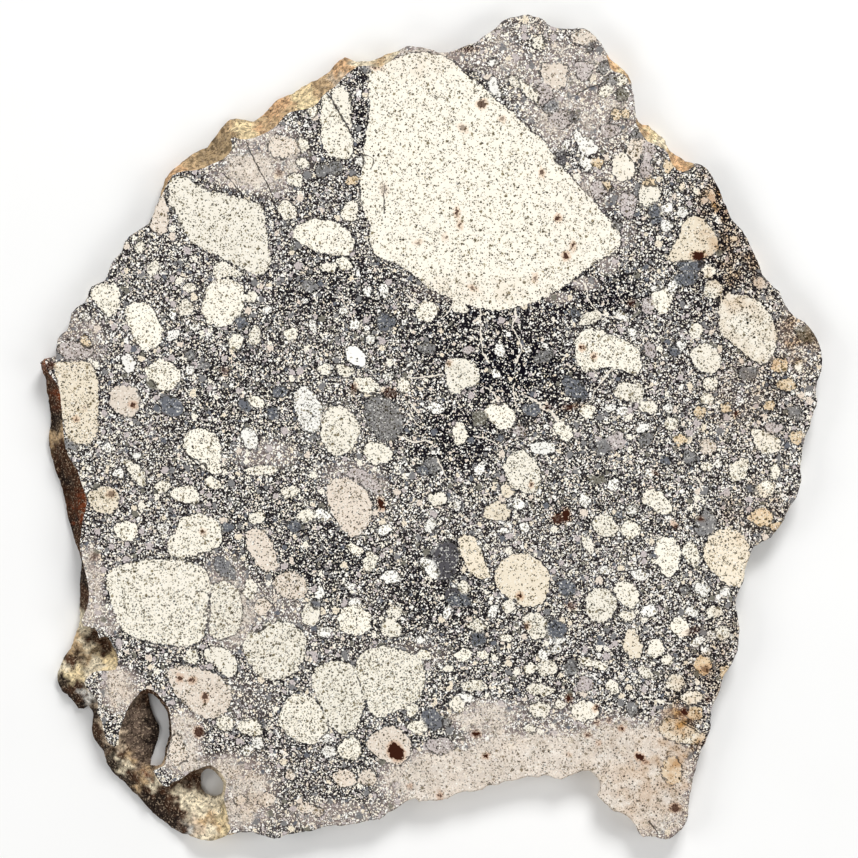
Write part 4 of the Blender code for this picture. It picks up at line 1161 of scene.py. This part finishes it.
    def mark(self, mesh: bpy.types.Mesh, edges: list[Vector]) -> None:
        """Writes which faces are natural skin, and how far vertices may be roughened.

        Args:
            mesh: the new surface.
            edges: the vertices round the sawn faces.
        """
        skins = np.empty(len(mesh.polygons), dtype=np.int32)
        mesh.polygons.foreach_get("material_index", skins)
        mesh.polygons.foreach_set("material_index", np.zeros_like(skins))
        write(mesh, "natural", (skins == Skin.RIM.value).astype(float), "FACE")
        tree = kdtree.KDTree(len(edges))
        for index, place in enumerate(edges):
            tree.insert(place, index)
        tree.balance()
        gaps = np.array([tree.find(vertex.co)[2] for vertex in mesh.vertices]) / MM
        on_rim = np.zeros(len(mesh.vertices), dtype=bool)
        starts = np.empty(len(mesh.polygons) * 3, dtype=np.int32)
        mesh.polygons.foreach_get("vertices", starts)
        on_rim[starts.reshape(-1, 3)[skins == Skin.RIM.value]] = True
        free = np.clip(self.free_at_edge + gaps / self.free_after, 0.0, 1.0) * on_rim
        write(mesh, "free", free)
        write(mesh, "level_edge", (gaps < self.level_slip).astype(float))


class Wiring:
    """Short ways to add and join the nodes of one tree."""

    def __init__(self, tree: bpy.types.NodeTree) -> None:
        """Works on this tree."""
        self.tree = tree

    def node(self, kind: str, **settings: Any) -> bpy.types.Node:
        """Adds a node and sets its options.

        Args:
            kind: its type.
            settings: the value of each option.

        Returns:
            The node.
        """
        made = self.tree.nodes.new(kind)
        for name, value in settings.items():
            setattr(made, name, value)
        return made

    def feed(self, node: bpy.types.Node, values: dict[Any, Any]) -> bpy.types.Node:
        """Joins or sets a node's inputs.

        Args:
            node: the node.
            values: an output of another node, or a plain value, for each input's name or number.

        Returns:
            The same node.
        """
        for key, value in values.items():
            if isinstance(value, bpy.types.NodeSocket):
                self.tree.links.new(value, node.inputs[key])
            else:
                node.inputs[key].default_value = value
        return node

    def math(self, operation: str, *values: Any, clamp: bool = False) -> bpy.types.NodeSocket:
        """One sum of numbers."""
        made = self.node("ShaderNodeMath", operation=operation, use_clamp=clamp)
        return self.feed(made, dict(enumerate(values))).outputs[0]

    def vector(self, operation: str, *values: Any, scale: Any = None) -> bpy.types.NodeSocket:
        """One sum of vectors.

        Args:
            operation: the kind of sum.
            values: what goes in, in order.
            scale: the number that a SCALE sum multiplies by.

        Returns:
            The result.
        """
        made = self.node("ShaderNodeVectorMath", operation=operation)
        given = dict(enumerate(values))
        if scale is not None:
            given["Scale"] = scale
        return self.feed(made, given).outputs[0]

    def ease(self, value: Any, start: Any, end: Any, low: float = 0.0,
             high: float = 1.0) -> bpy.types.NodeSocket:
        """A soft step from low, where the value is at start, to high, where it is at end."""
        made = self.node("ShaderNodeMapRange", interpolation_type="SMOOTHSTEP")
        return self.feed(made, {0: value, 1: start, 2: end, 3: low, 4: high}).outputs[0]

    def mix(self, share: Any, under: Any, over: Any, blend: str = "MIX") -> bpy.types.NodeSocket:
        """One colour laid over another."""
        made = self.node("ShaderNodeMix", data_type="RGBA", blend_type=blend)
        return self.feed(made, {0: share, 6: under, 7: over}).outputs[2]

    def noise(self, place: Any, size: Any, detail: float = 2.0, output: str = "Fac",
              rough: float = 0.55) -> bpy.types.NodeSocket:
        """Soft noise.

        Args:
            place: where it is read.
            size: about how large its lumps are.
            detail: how many finer steps it has.
            output: Fac for a number, or Color for three.
            rough: how strong the finer steps are.

        Returns:
            The noise, about 0 to 1.
        """
        scale = 1.0 / size if isinstance(size, (int, float)) else self.math("DIVIDE", 1.0, size)
        made = self.node("ShaderNodeTexNoise")
        values = {"Vector": place, "Scale": scale, "Detail": detail, "Roughness": rough}
        return self.feed(made, values).outputs[output]

    def cells(self, place: Any, size: float) -> bpy.types.Node:
        """Random cells about this far apart."""
        made = self.node("ShaderNodeTexVoronoi")
        return self.feed(made, {"Vector": place, "Scale": 1.0 / size})

    def attribute(self, name: str) -> bpy.types.Node:
        """An attribute of the mesh."""
        return self.node("ShaderNodeAttribute", attribute_name=name)

    def split(self, colour: Any) -> Any:
        """The three channels of a colour."""
        return self.feed(self.node("ShaderNodeSeparateColor"), {0: colour}).outputs


class Effect:
    """A shader node group with named sockets, to be wired by its subclass."""

    name: str = "effect"
    inputs: dict[str, str] = {}
    outputs: dict[str, str] = {}

    def __init__(self) -> None:
        """Makes the group and its sockets."""
        self.tree = bpy.data.node_groups.new(self.name, "ShaderNodeTree")
        for in_out, sockets in (("INPUT", self.inputs), ("OUTPUT", self.outputs)):
            for label, kind in sockets.items():
                self.tree.interface.new_socket(label, in_out=in_out,
                                               socket_type=f"NodeSocket{kind}")
        self.wiring = Wiring(self.tree)
        self.given = self.wiring.node("NodeGroupInput").outputs
        results = self.wire(self.wiring)
        self.wiring.feed(self.wiring.node("NodeGroupOutput"), results)

    def wire(self, w: Wiring) -> dict[str, bpy.types.NodeSocket]:
        """Wires the group and gives what each output carries."""
        raise NotImplementedError

    def use(self, w: Wiring, **values: Any) -> Any:
        """Adds the group to a tree and gives its outputs."""
        made = w.node("ShaderNodeGroup", node_tree=self.tree)
        return w.feed(made, values).outputs


class FragmentLayer(Effect):
    """Small fragments of about one size, each with a tone of its own.

    Radii are shares of a cell. Each tone's number is where its share of the fragments ends.
    """

    name = "fragment_layer"
    inputs = {"Place": "Vector", "Size": "Float", "Share": "Float", "Seed": "Float",
              "Ragged": "Float"}
    outputs = {"Mask": "Float", "Tone": "Color"}
    least_radius: float = 0.3
    more_radius: float = 0.26
    ragged_share: float = 0.7
    tones = ((Tone.WHITE, 0.26), (Tone.CREAM, 0.5), (Tone.BUFF, 0.58), (Tone.PINK, 0.64),
             (Tone.LILAC, 0.78), (Tone.GRAY, 0.89), (Tone.OLIVE, 0.94), (Tone.SLATE, 1.0))

    def wire(self, w: Wiring) -> dict[str, bpy.types.NodeSocket]:
        """Cells, of which a share are fragments.

        Args:
            w: the group's wiring.

        Returns:
            What each output carries.
        """
        given = self.given
        scaled = w.vector("SCALE", given["Place"], scale=w.math("DIVIDE", 1.0, given["Size"]))
        shift = w.node("ShaderNodeCombineXYZ")
        w.feed(shift, {0: given["Seed"], 1: w.math("MULTIPLY", given["Seed"], 1.7),
                       2: given["Seed"]})
        cells = w.cells(w.vector("ADD", scaled, shift.outputs[0]), 1.0)
        red, green, blue = w.split(cells.outputs["Color"])
        radius = w.math("MULTIPLY_ADD", green, self.more_radius, self.least_radius)
        radius = w.math("MULTIPLY_ADD", given["Ragged"], self.ragged_share, radius)
        shape = w.ease(w.math("SUBTRACT", radius, cells.outputs["Distance"]), -0.03, 0.05)
        there = w.math("LESS_THAN", red, given["Share"])
        ramp = w.node("ShaderNodeValToRGB")
        ramp.color_ramp.interpolation = "CONSTANT"
        stops, start = ramp.color_ramp.elements, 0.0
        for index, (tone, end) in enumerate(self.tones):
            stop = stops[index] if index < 2 else stops.new(start)
            stop.position, stop.color = start, linear(*tone.value)
            start = end
        w.feed(ramp, {0: blue})
        return {"Mask": w.math("MULTIPLY", shape, there), "Tone": ramp.outputs["Color"]}


class ThinLine(Effect):
    """A thin, uneven line where a signed distance changes sign."""

    name = "thin_line"
    inputs = {"Place": "Vector", "Reach": "Float", "Near": "Float", "Width": "Float"}
    outputs = {"Mask": "Float"}
    waver_size: float = 1.1
    waver_width: float = 0.9
    swell_size: float = 2.3

    def wire(self, w: Wiring) -> dict[str, bpy.types.NodeSocket]:
        """The line wavers and swells.

        Args:
            w: the group's wiring.

        Returns:
            What each output carries.
        """
        given = self.given
        waver = w.noise(given["Place"], self.waver_size, 2.0)
        moved = w.math("MULTIPLY_ADD", waver, self.waver_width,
                       w.math("SUBTRACT", given["Reach"], self.waver_width / 2.0))
        swell = w.ease(w.noise(given["Place"], self.swell_size, 1.0), 0.3, 0.65, 0.5, 1.2)
        width = w.math("MULTIPLY", given["Width"], swell)
        drawn = w.ease(w.math("DIVIDE", w.math("ABSOLUTE", moved), width), 1.25, 0.75)
        near = w.math("GREATER_THAN", given["Near"], 0.5)
        return {"Mask": w.math("MULTIPLY", drawn, near)}


class Mottle(Effect):
    """A fragment's own tone, broken by dark grains, denser in clouds, and by pale ones.

    Dark grains have a size, the share that they fill with full specks, and what a cloud adds to it.
    """

    name = "mottle"
    inputs = {"Place": "Vector", "Tone": "Color", "Specks": "Float"}
    outputs = {"Tone": "Color"}
    swirl_size: float = 0.35
    swirl_reach: float = 0.5
    cloud_size: float = 1.6
    cloud_share: float = 0.2
    cloud_tint: Linear = (0.62, 0.6, 0.52, 1.0)
    dark_grains: tuple[tuple[float, float, float], ...] = ((0.33, 0.95, 1.1), (0.62, 0.16, 0.3))
    darkest_dust: Linear = (0.01, 0.01, 0.01, 1.0)
    palest_dust: Linear = (0.4, 0.36, 0.26, 1.0)
    pale_size: float = 0.42
    pale_share: float = 0.45
    pale_shift: tuple[float, float, float] = (3.0, 8.0, 5.0)
    pale_tone: tuple[int, int, int] = (250, 248, 240)

    def wire(self, w: Wiring) -> dict[str, bpy.types.NodeSocket]:
        """Clouds, then two sizes of dark grain over them, then the pale ones.

        Args:
            w: the group's wiring.

        Returns:
            What each output carries.
        """
        place, specks = self.given["Place"], self.given["Specks"]
        swirl = w.noise(place, self.swirl_size, 1.0, "Color")
        swirl = w.vector("SUBTRACT", swirl, MID_NOISE)
        ragged = w.vector("ADD", place, w.vector("SCALE", swirl, scale=self.swirl_reach))
        cloud = w.ease(w.noise(place, self.cloud_size, 3.0), 0.46, 0.62)
        cloud = w.math("MULTIPLY", cloud, specks)
        toned = w.mix(w.math("MULTIPLY", cloud, self.cloud_share), self.given["Tone"],
                      self.cloud_tint, "MULTIPLY")
        for size, share, clouded in self.dark_grains:
            grains = w.cells(ragged, size)
            red, green, blue = w.split(grains.outputs["Color"])
            spread = w.math("MULTIPLY_ADD", cloud, clouded, w.math("MULTIPLY", specks, share))
            there = w.math("LESS_THAN", red, spread)
            radius = w.math("MULTIPLY_ADD", green, 0.32, 0.25)
            shape = w.ease(w.math("SUBTRACT", radius, grains.outputs["Distance"]), -0.05, 0.07)
            dust = w.mix(blue, self.darkest_dust, self.palest_dust)
            toned = w.mix(w.math("MULTIPLY", shape, there), toned, dust, "MULTIPLY")
        grains = w.cells(w.vector("ADD", ragged, self.pale_shift), self.pale_size)
        red, green, blue = w.split(grains.outputs["Color"])
        there = w.math("LESS_THAN", red, self.pale_share)
        radius = w.math("MULTIPLY_ADD", green, 0.3, 0.22)
        shape = w.ease(w.math("SUBTRACT", radius, grains.outputs["Distance"]), -0.05, 0.07)
        pale = w.math("MULTIPLY", w.math("MULTIPLY", shape, there),
                      w.math("MULTIPLY_ADD", blue, 0.6, 0.3))
        return {"Tone": w.mix(pale, toned, linear(*self.pale_tone))}


@dataclass(frozen=True)
class BrecciaFinish:
    """The rock: fragments of every size in a dark to pinkish ground, with cracks and rust.

    A layer of small fragments has a size, its shares in pale and in dark ground, and a seed.
    """

    layers: tuple[tuple[float, float, float, float], ...] = (
        (0.31, 0.92, 0.46, 3.1), (0.45, 0.6, 0.28, 7.9), (0.8, 0.44, 0.15, 13.3),
        (1.5, 0.28, 0.07, 23.7))
    black: tuple[int, int, int] = (9, 7, 17)
    pale_ground: tuple[int, int, int] = (36, 31, 31)
    powder: tuple[int, int, int] = (132, 126, 124)
    soft_base: tuple[int, int, int] = (176, 160, 154)
    soft_ground: tuple[int, int, int] = (238, 226, 212)
    contact_ring: tuple[int, int, int] = (16, 14, 18)
    stain: tuple[int, int, int] = (202, 162, 112)
    rust_core: tuple[int, int, int] = (58, 28, 17)
    rust_halo: tuple[int, int, int] = (212, 156, 100)
    crack: tuple[int, int, int] = (40, 35, 33)
    vein: tuple[int, int, int] = (240, 232, 218)
    crust_fleck: tuple[int, int, int] = (212, 188, 160)
    crust_pit: tuple[int, int, int] = (34, 22, 17)
    pit_shift: tuple[float, float, float] = (9.0, 4.0, 2.0)
    swirl_size: float = 1.2
    swirl_reach: float = 0.9
    line_width: float = 0.15
    vein_cover: float = 0.88
    crack_cover: float = 0.85
    ring_cover: float = 0.8
    bump_depth: float = 0.4
    sawn_roughness: float = 0.75
    added_roughness: float = 0.15
    shine: float = 0.04

    def material(self) -> bpy.types.Material:
        """Wires the finish.

        Returns:
            The material of the whole piece.
        """
        made = bpy.data.materials.new("lunar_breccia")
        made.use_nodes = True
        made.node_tree.nodes.clear()
        w = Wiring(made.node_tree)
        thin_line = ThinLine()
        place = w.vector("SCALE", w.node("ShaderNodeTexCoord").outputs["Object"], scale=1.0 / MM)
        swirl = w.vector("SUBTRACT", w.noise(place, self.swirl_size, 2.0, "Color"), MID_NOISE)
        warped = w.vector("ADD", place, w.vector("SCALE", swirl, scale=self.swirl_reach))
        ground = w.attribute("ground")
        dark, soft, warm = w.split(ground.outputs["Color"])
        rock = self.matrix(w, place, warped, dark, soft)
        tone = self.clasts(w, place, swirl, rock, soft)
        lines = w.attribute("thin_lines")
        crack, cracked, vein = w.split(lines.outputs["Color"])
        vein_mask = thin_line.use(w, Place=place, Reach=vein, Near=lines.outputs["Alpha"],
                                  Width=self.line_width)["Mask"]
        tone = w.mix(w.math("MULTIPLY", vein_mask, self.vein_cover), tone, linear(*self.vein))
        crack_mask = thin_line.use(w, Place=warped, Reach=crack, Near=cracked,
                                   Width=self.line_width)["Mask"]
        tone = w.mix(w.math("MULTIPLY", crack_mask, self.crack_cover), tone, linear(*self.crack))
        tone = self.stains(w, place, tone, warm, ground.outputs["Alpha"])
        natural = w.attribute("natural").outputs["Fac"]
        tone = self.crusts_and_painted_light(w, place, tone, natural)
        grain = w.math("ADD", w.noise(place, 0.8, 4.0),
                       w.math("MULTIPLY", w.noise(place, 0.25), 0.4))
        bump = w.node("ShaderNodeBump")
        w.feed(bump, {"Strength": w.math("MULTIPLY", natural, 0.7),
                      "Distance": self.bump_depth * MM, "Height": grain})
        shader = w.node("ShaderNodeBsdfPrincipled")
        roughness = w.math("MULTIPLY_ADD", natural, self.added_roughness, self.sawn_roughness)
        w.feed(shader, {"Base Color": tone, "Normal": bump.outputs[0], "Roughness": roughness,
                        "Specular IOR Level": self.shine})
        w.feed(w.node("ShaderNodeOutputMaterial"), {0: shader.outputs[0]})
        return made

    def matrix(self, w: Wiring, place: Any, warped: Any, dark: Any, soft: Any) -> Any:
        """The ground and its small fragments.

        Args:
            w: the material's wiring.
            place: millimetres on the piece.
            warped: the same, swirled.
            dark: how dark the ground is.
            soft: how far it is a soft, pinkish, even rock.

        Returns:
            The colour so far.
        """
        layer = FragmentLayer()
        ragged = w.math("SUBTRACT", w.noise(place, 0.3, 1.0), 0.5)
        powder = w.ease(ragged, 0.0, 0.1)
        base = w.mix(dark, linear(*self.pale_ground), linear(*self.black))
        base = w.mix(w.ease(soft, 0.1, 0.6, 0.0, 0.7), base, linear(*self.soft_base))
        tone = w.mix(w.math("MULTIPLY", powder, w.math("MULTIPLY_ADD", dark, -0.44, 0.45)),
                     base, linear(*self.powder))
        for size, pale_share, dark_share, seed in self.layers:
            share = w.math("MULTIPLY_ADD", dark, dark_share - pale_share, pale_share)
            found = layer.use(w, Place=warped, Size=size, Share=share, Seed=seed, Ragged=ragged)
            tone = w.mix(found["Mask"], tone, found["Tone"])
        return w.mix(1.0, tone, w.ease(ragged, -0.2, 0.05, 0.6, 1.0), "MULTIPLY")

    def clasts(self, w: Wiring, place: Any, swirl: Any, under: Any, soft: Any) -> Any:
        """The large fragments, and the soft ground, over the rest.

        Args:
            w: the material's wiring.
            place: millimetres on the piece.
            swirl: the swirl that warps small fragments.
            under: the colour so far.
            soft: how far the ground is a soft, pinkish, even rock.

        Returns:
            The colour with them.
        """
        clast = w.attribute("clast_tone")
        reach = w.attribute("clast_reach").outputs["Fac"]
        uneven = w.math("MULTIPLY_ADD", w.split(swirl)[0], 1.5, reach)
        fine = w.math("MULTIPLY_ADD", w.noise(place, 0.45, 2.0), 0.9,
                      w.math("SUBTRACT", uneven, 0.45))
        mask = w.ease(fine, 0.05, -0.05)
        shade = w.ease(w.noise(place, 5.5, 2.0), 0.3, 0.7, 0.86, 1.0)
        even = w.mix(1.0, linear(*self.soft_ground), shade, "MULTIPLY")
        plain = w.math("MULTIPLY_ADD", soft, -0.8, 1.2)
        own = w.math("MULTIPLY_ADD", soft, 0.1, clast.outputs["Alpha"])
        specks = w.math("MULTIPLY_ADD", mask, w.math("SUBTRACT", own, plain), plain)
        toned = w.mix(w.math("MULTIPLY", soft, 0.25), clast.outputs["Color"], even)
        body = Mottle().use(w, Place=place, Tone=w.mix(mask, even, toned), Specks=specks)["Tone"]
        patch = w.math("MULTIPLY_ADD", w.noise(place, 0.6, 2.0), 0.7, w.math("SUBTRACT", soft, 0.75))
        patch = w.math("MULTIPLY_ADD", w.noise(place, 3.0, 1.0), 0.8, patch)
        patch = w.ease(patch, 0.42, 0.8, 0.0, 0.82)
        tone = w.mix(w.math("MAXIMUM", mask, patch), under, body)
        ring = w.math("MULTIPLY",
                      w.ease(w.math("ABSOLUTE", w.math("SUBTRACT", fine, 0.14)), 0.2, 0.08),
                      w.ease(w.noise(place, 1.7, 1.0), 0.3, 0.46))
        return w.mix(w.math("MULTIPLY", ring, self.ring_cover), tone, linear(*self.contact_ring))

    def stains(self, w: Wiring, place: Any, under: Any, warm: Any, rusty: Any) -> Any:
        """Warm stain and rust over the rock.

        Args:
            w: the material's wiring.
            place: millimetres on the piece.
            under: the colour so far.
            warm: how strong the stain is.
            rusty: how strong the nearest rust spot is.

        Returns:
            The colour with them.
        """
        cloud = w.ease(w.noise(place, 3.2, 3.0), 0.3, 0.68)
        share = w.math("MULTIPLY", warm, cloud)
        tone = w.mix(share, under, linear(*self.stain), "MULTIPLY")
        ragged = w.math("MULTIPLY_ADD", w.noise(place, 0.6, 3.0), 1.3, -0.65)
        reach = w.math("ADD", w.attribute("rust_reach").outputs["Fac"], ragged)
        halo = w.math("MULTIPLY", w.ease(reach, 0.7, 0.0), rusty)
        tone = w.mix(w.math("MULTIPLY", halo, 0.5), tone, linear(*self.rust_halo), "MULTIPLY")
        core = w.math("MULTIPLY", w.ease(reach, 0.06, -0.06), rusty)
        return w.mix(core, tone, linear(*self.rust_core))

    def crusts_and_painted_light(self, w: Wiring, place: Any, under: Any, natural: Any) -> Any:
        """The finish of the natural outside over the rock, with the painted shade and painted
        highlights that it carries.

        Args:
            w: the material's wiring.
            place: millimetres on the piece.
            under: the colour so far.
            natural: 1 on the natural outside and 0 on a sawn face.

        Returns:
            The colour with it.
        """
        # The attribute's colour holds painted shade in hollows and painted highlights on lit lumps.
        crust_and_painted_light = w.attribute("crust_and_painted_light")
        blotch = w.ease(w.noise(place, 0.9, 4.0), 0.35, 0.65, 0.42, 1.22)
        tone = w.mix(1.0, crust_and_painted_light.outputs["Color"], blotch, "MULTIPLY")
        fleck = w.ease(w.noise(place, 0.42, 2.0), 0.55, 0.68)
        tone = w.mix(w.math("MULTIPLY", fleck, 0.55), tone, linear(*self.crust_fleck))
        pit = w.ease(w.noise(w.vector("ADD", place, self.pit_shift), 0.45, 3.0), 0.54, 0.66)
        tone = w.mix(w.math("MULTIPLY", pit, 0.75), tone, linear(*self.crust_pit))
        patchy = w.math("MULTIPLY_ADD", w.noise(place, 1.6, 3.0), 0.9, -0.45)
        worn = w.ease(w.math("ADD", crust_and_painted_light.outputs["Alpha"], patchy), 0.35, 0.55)
        return w.mix(w.math("MULTIPLY", worn, natural), under, tone)


@dataclass(frozen=True)
class FloorFinish:
    """A pale table top, barely uneven."""

    pale: tuple[int, int, int] = (247, 247, 246)
    shaded: tuple[int, int, int] = (240, 240, 239)

    def material(self) -> bpy.types.Material:
        """Wires the finish.

        Returns:
            The floor's material.
        """
        made = bpy.data.materials.new("pale_table")
        made.use_nodes = True
        made.node_tree.nodes.clear()
        w = Wiring(made.node_tree)
        place = w.node("ShaderNodeTexCoord").outputs["Object"]
        tone = w.mix(w.noise(place, 0.05, 3.0), linear(*self.pale), linear(*self.shaded))
        shader = w.feed(w.node("ShaderNodeBsdfPrincipled"), {"Base Color": tone, "Roughness": 0.9,
                                                             "Specular IOR Level": 0.1})
        w.feed(w.node("ShaderNodeOutputMaterial"), {0: shader.outputs[0]})
        return made


@dataclass(frozen=True)
class RoughBreak:
    """Geometry Nodes that give the natural skin its grain."""

    depth: float = 0.5
    grain: float = 1.5
    seed: float = 4.0

    def tree(self, finish: bpy.types.Material) -> bpy.types.NodeTree:
        """Builds the node tree.

        Args:
            finish: the material that the result wears.

        Returns:
            A tree with the named inputs Depth, Grain and Seed.
        """
        tree = bpy.data.node_groups.new("rough_break", "GeometryNodeTree")
        tree.interface.new_socket("Geometry", in_out="INPUT", socket_type="NodeSocketGeometry")
        for label in ("Depth", "Grain", "Seed"):
            tree.interface.new_socket(label, in_out="INPUT", socket_type="NodeSocketFloat")
        tree.interface.new_socket("Geometry", in_out="OUTPUT", socket_type="NodeSocketGeometry")
        w = Wiring(tree)
        given = w.node("NodeGroupInput").outputs
        place = w.vector("SCALE", w.node("GeometryNodeInputPosition").outputs[0], scale=1.0 / MM)
        noise = w.node("ShaderNodeTexNoise", noise_dimensions="4D")
        w.feed(noise, {"Vector": place, "W": given["Seed"], "Detail": 3.0, "Roughness": 0.6,
                       "Scale": w.math("DIVIDE", 1.0, given["Grain"])})
        free, level = (w.feed(w.node("GeometryNodeInputNamedAttribute", data_type="FLOAT"),
                              {"Name": name}).outputs[0] for name in ("free", "level_edge"))
        lift = w.math("MULTIPLY", w.math("SUBTRACT", noise.outputs["Fac"], 0.5),
                      w.math("MULTIPLY", given["Depth"], free))
        lift = w.math("MULTIPLY", lift, 2.0 * MM)
        hold = w.feed(w.node("ShaderNodeCombineXYZ"), {0: 1.0, 1: 1.0,
                                                       2: w.math("SUBTRACT", 1.0, level)})
        outward = w.vector("MULTIPLY", w.node("GeometryNodeInputNormal").outputs[0],
                           hold.outputs[0])
        moved = w.feed(w.node("GeometryNodeSetPosition"),
                       {"Geometry": given["Geometry"],
                        "Offset": w.vector("SCALE", outward, scale=lift)})
        real = w.feed(w.node("GeometryNodeRealizeInstances"), {0: moved.outputs[0]})
        worn = w.feed(w.node("GeometryNodeSetMaterial"), {"Geometry": real.outputs[0],
                                                          "Material": finish})
        w.feed(w.node("NodeGroupOutput"), {0: worn.outputs[0]})
        return tree

    def apply(self, piece: bpy.types.Object, finish: bpy.types.Material) -> None:
        """Roughens a piece and leaves it a plain mesh.

        Args:
            piece: the piece.
            finish: the material that it wears.
        """
        tree = self.tree(finish)
        values = {"Depth": self.depth, "Grain": self.grain, "Seed": self.seed}
        modifier = piece.modifiers.new("rough_break", "NODES")
        modifier.node_group = tree
        for item in tree.interface.items_tree:
            if item.in_out == "INPUT" and item.name in values:
                modifier[item.identifier] = values[item.name]
        view = bpy.context.evaluated_depsgraph_get()
        plain = bpy.data.meshes.new_from_object(piece.evaluated_get(view), depsgraph=view,
                                                preserve_all_data_layers=True)
        piece.modifiers.clear()
        piece.data = plain


@dataclass
class MeteoriteSlice:
    """The one piece: a broken slice of breccia, sawn flat on its face and its back."""

    surface: SliceMesh = field(default_factory=SliceMesh)
    fragments: Fragments = field(default_factory=Fragments)
    finish: BrecciaFinish = field(default_factory=BrecciaFinish)
    skin: RoughBreak = field(default_factory=RoughBreak)

    def build(self, node: bpy.types.Object) -> bpy.types.Object:
        """Builds the piece.

        Args:
            node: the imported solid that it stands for.

        Returns:
            The finished piece.
        """
        mesh = self.surface.build(node.data)
        log.info("surface: %d vertices, %d faces", len(mesh.vertices), len(mesh.polygons))
        piece = bpy.data.objects.new("breccia_slice", mesh)
        bpy.context.scene.collection.objects.link(piece)
        self.skin.apply(piece, self.finish.material())
        RockMap(self.fragments).dress(piece.data)
        for spare in ("free", "level_edge"):
            piece.data.attributes.remove(piece.data.attributes[spare])
        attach(piece, "root")
        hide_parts(NODE)
        return piece


@dataclass(frozen=True)
class Studio:
    """Camera, lights and floor, for a view straight down on the sawn face.

    Sizes are in metres. A lamp has a name, a place, the length of its side and its watts.
    """

    height: float = 1.5
    face: float = 0.006
    window: float = 0.1716
    middle: tuple[float, float] = (-0.00043, -0.0002)
    floor_side: float = 4.0
    floor_gap: float = 0.00002
    sensor: float = 36.0
    sky: float = 0.3
    lamps: tuple[tuple[str, tuple[float, float, float], float, float], ...] = (
        ("key", (0.3, 1.0, 1.0), 0.5, 13.6), ("right", (1.1, -0.2, 0.95), 0.7, 4.6),
        ("left", (-1.1, -0.1, 0.95), 0.7, 4.2), ("near", (-0.2, -1.1, 0.95), 0.7, 4.2))

    def camera(self) -> None:
        """Sets the camera above the face, with the sheet's window just filling the picture."""
        lens = bpy.data.cameras.new("camera")
        lens.sensor_width = self.sensor
        lens.lens = lens.sensor_width * self.height / self.window
        holder = bpy.data.objects.new("camera", lens)
        holder.location = (*self.middle, self.height + self.face)
        bpy.context.scene.collection.objects.link(holder)
        bpy.context.scene.camera = holder

    def light(self, name: str, place: tuple[float, float, float], side: float,
              power: float) -> None:
        """Adds a square light that faces the slice.

        Args:
            name: its name.
            place: where it hangs.
            side: how long its side is.
            power: its watts.
        """
        lamp = bpy.data.lights.new(name, "AREA")
        lamp.size = side
        lamp.energy = power
        holder = bpy.data.objects.new(name, lamp)
        holder.matrix_world = (Matrix.Translation(place)
                               @ Vector(place).to_track_quat("Z", "Y").to_matrix().to_4x4())
        bpy.context.scene.collection.objects.link(holder)

    def build(self) -> bpy.types.Object:
        """Builds the studio.

        Returns:
            The floor.
        """
        self.camera()
        for lamp in self.lamps:
            self.light(*lamp)
        world = bpy.data.worlds.new("studio")
        world.use_nodes = True
        background = world.node_tree.nodes["Background"]
        background.inputs[0].default_value = (1.0, 1.0, 1.0, 1.0)
        background.inputs[1].default_value = self.sky
        bpy.context.scene.world = world
        bpy.context.scene.view_settings.view_transform = "Standard"
        half = self.floor_side / 2.0
        corners = [(-half, -half), (half, -half), (half, half), (-half, half)]
        mesh = bpy.data.meshes.new("table_top")
        mesh.from_pydata([(*corner, -self.floor_gap) for corner in corners], [], [(0, 1, 2, 3)])
        mesh.materials.append(FloorFinish().material())
        floor = bpy.data.objects.new("table_top", mesh)
        bpy.context.scene.collection.objects.link(floor)
        return floor


def main() -> None:
    """Builds the slice and the studio, and reports each piece."""
    logging.basicConfig(level=logging.INFO, format="%(name)s: %(message)s")
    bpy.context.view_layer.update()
    piece = MeteoriteSlice().build(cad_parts[NODE])
    log.info("%s: %d faces", piece.name, len(piece.data.polygons))
    floor = Studio().build()
    log.info("%s: staged", floor.name)


if __name__ == "__main__":
    main()
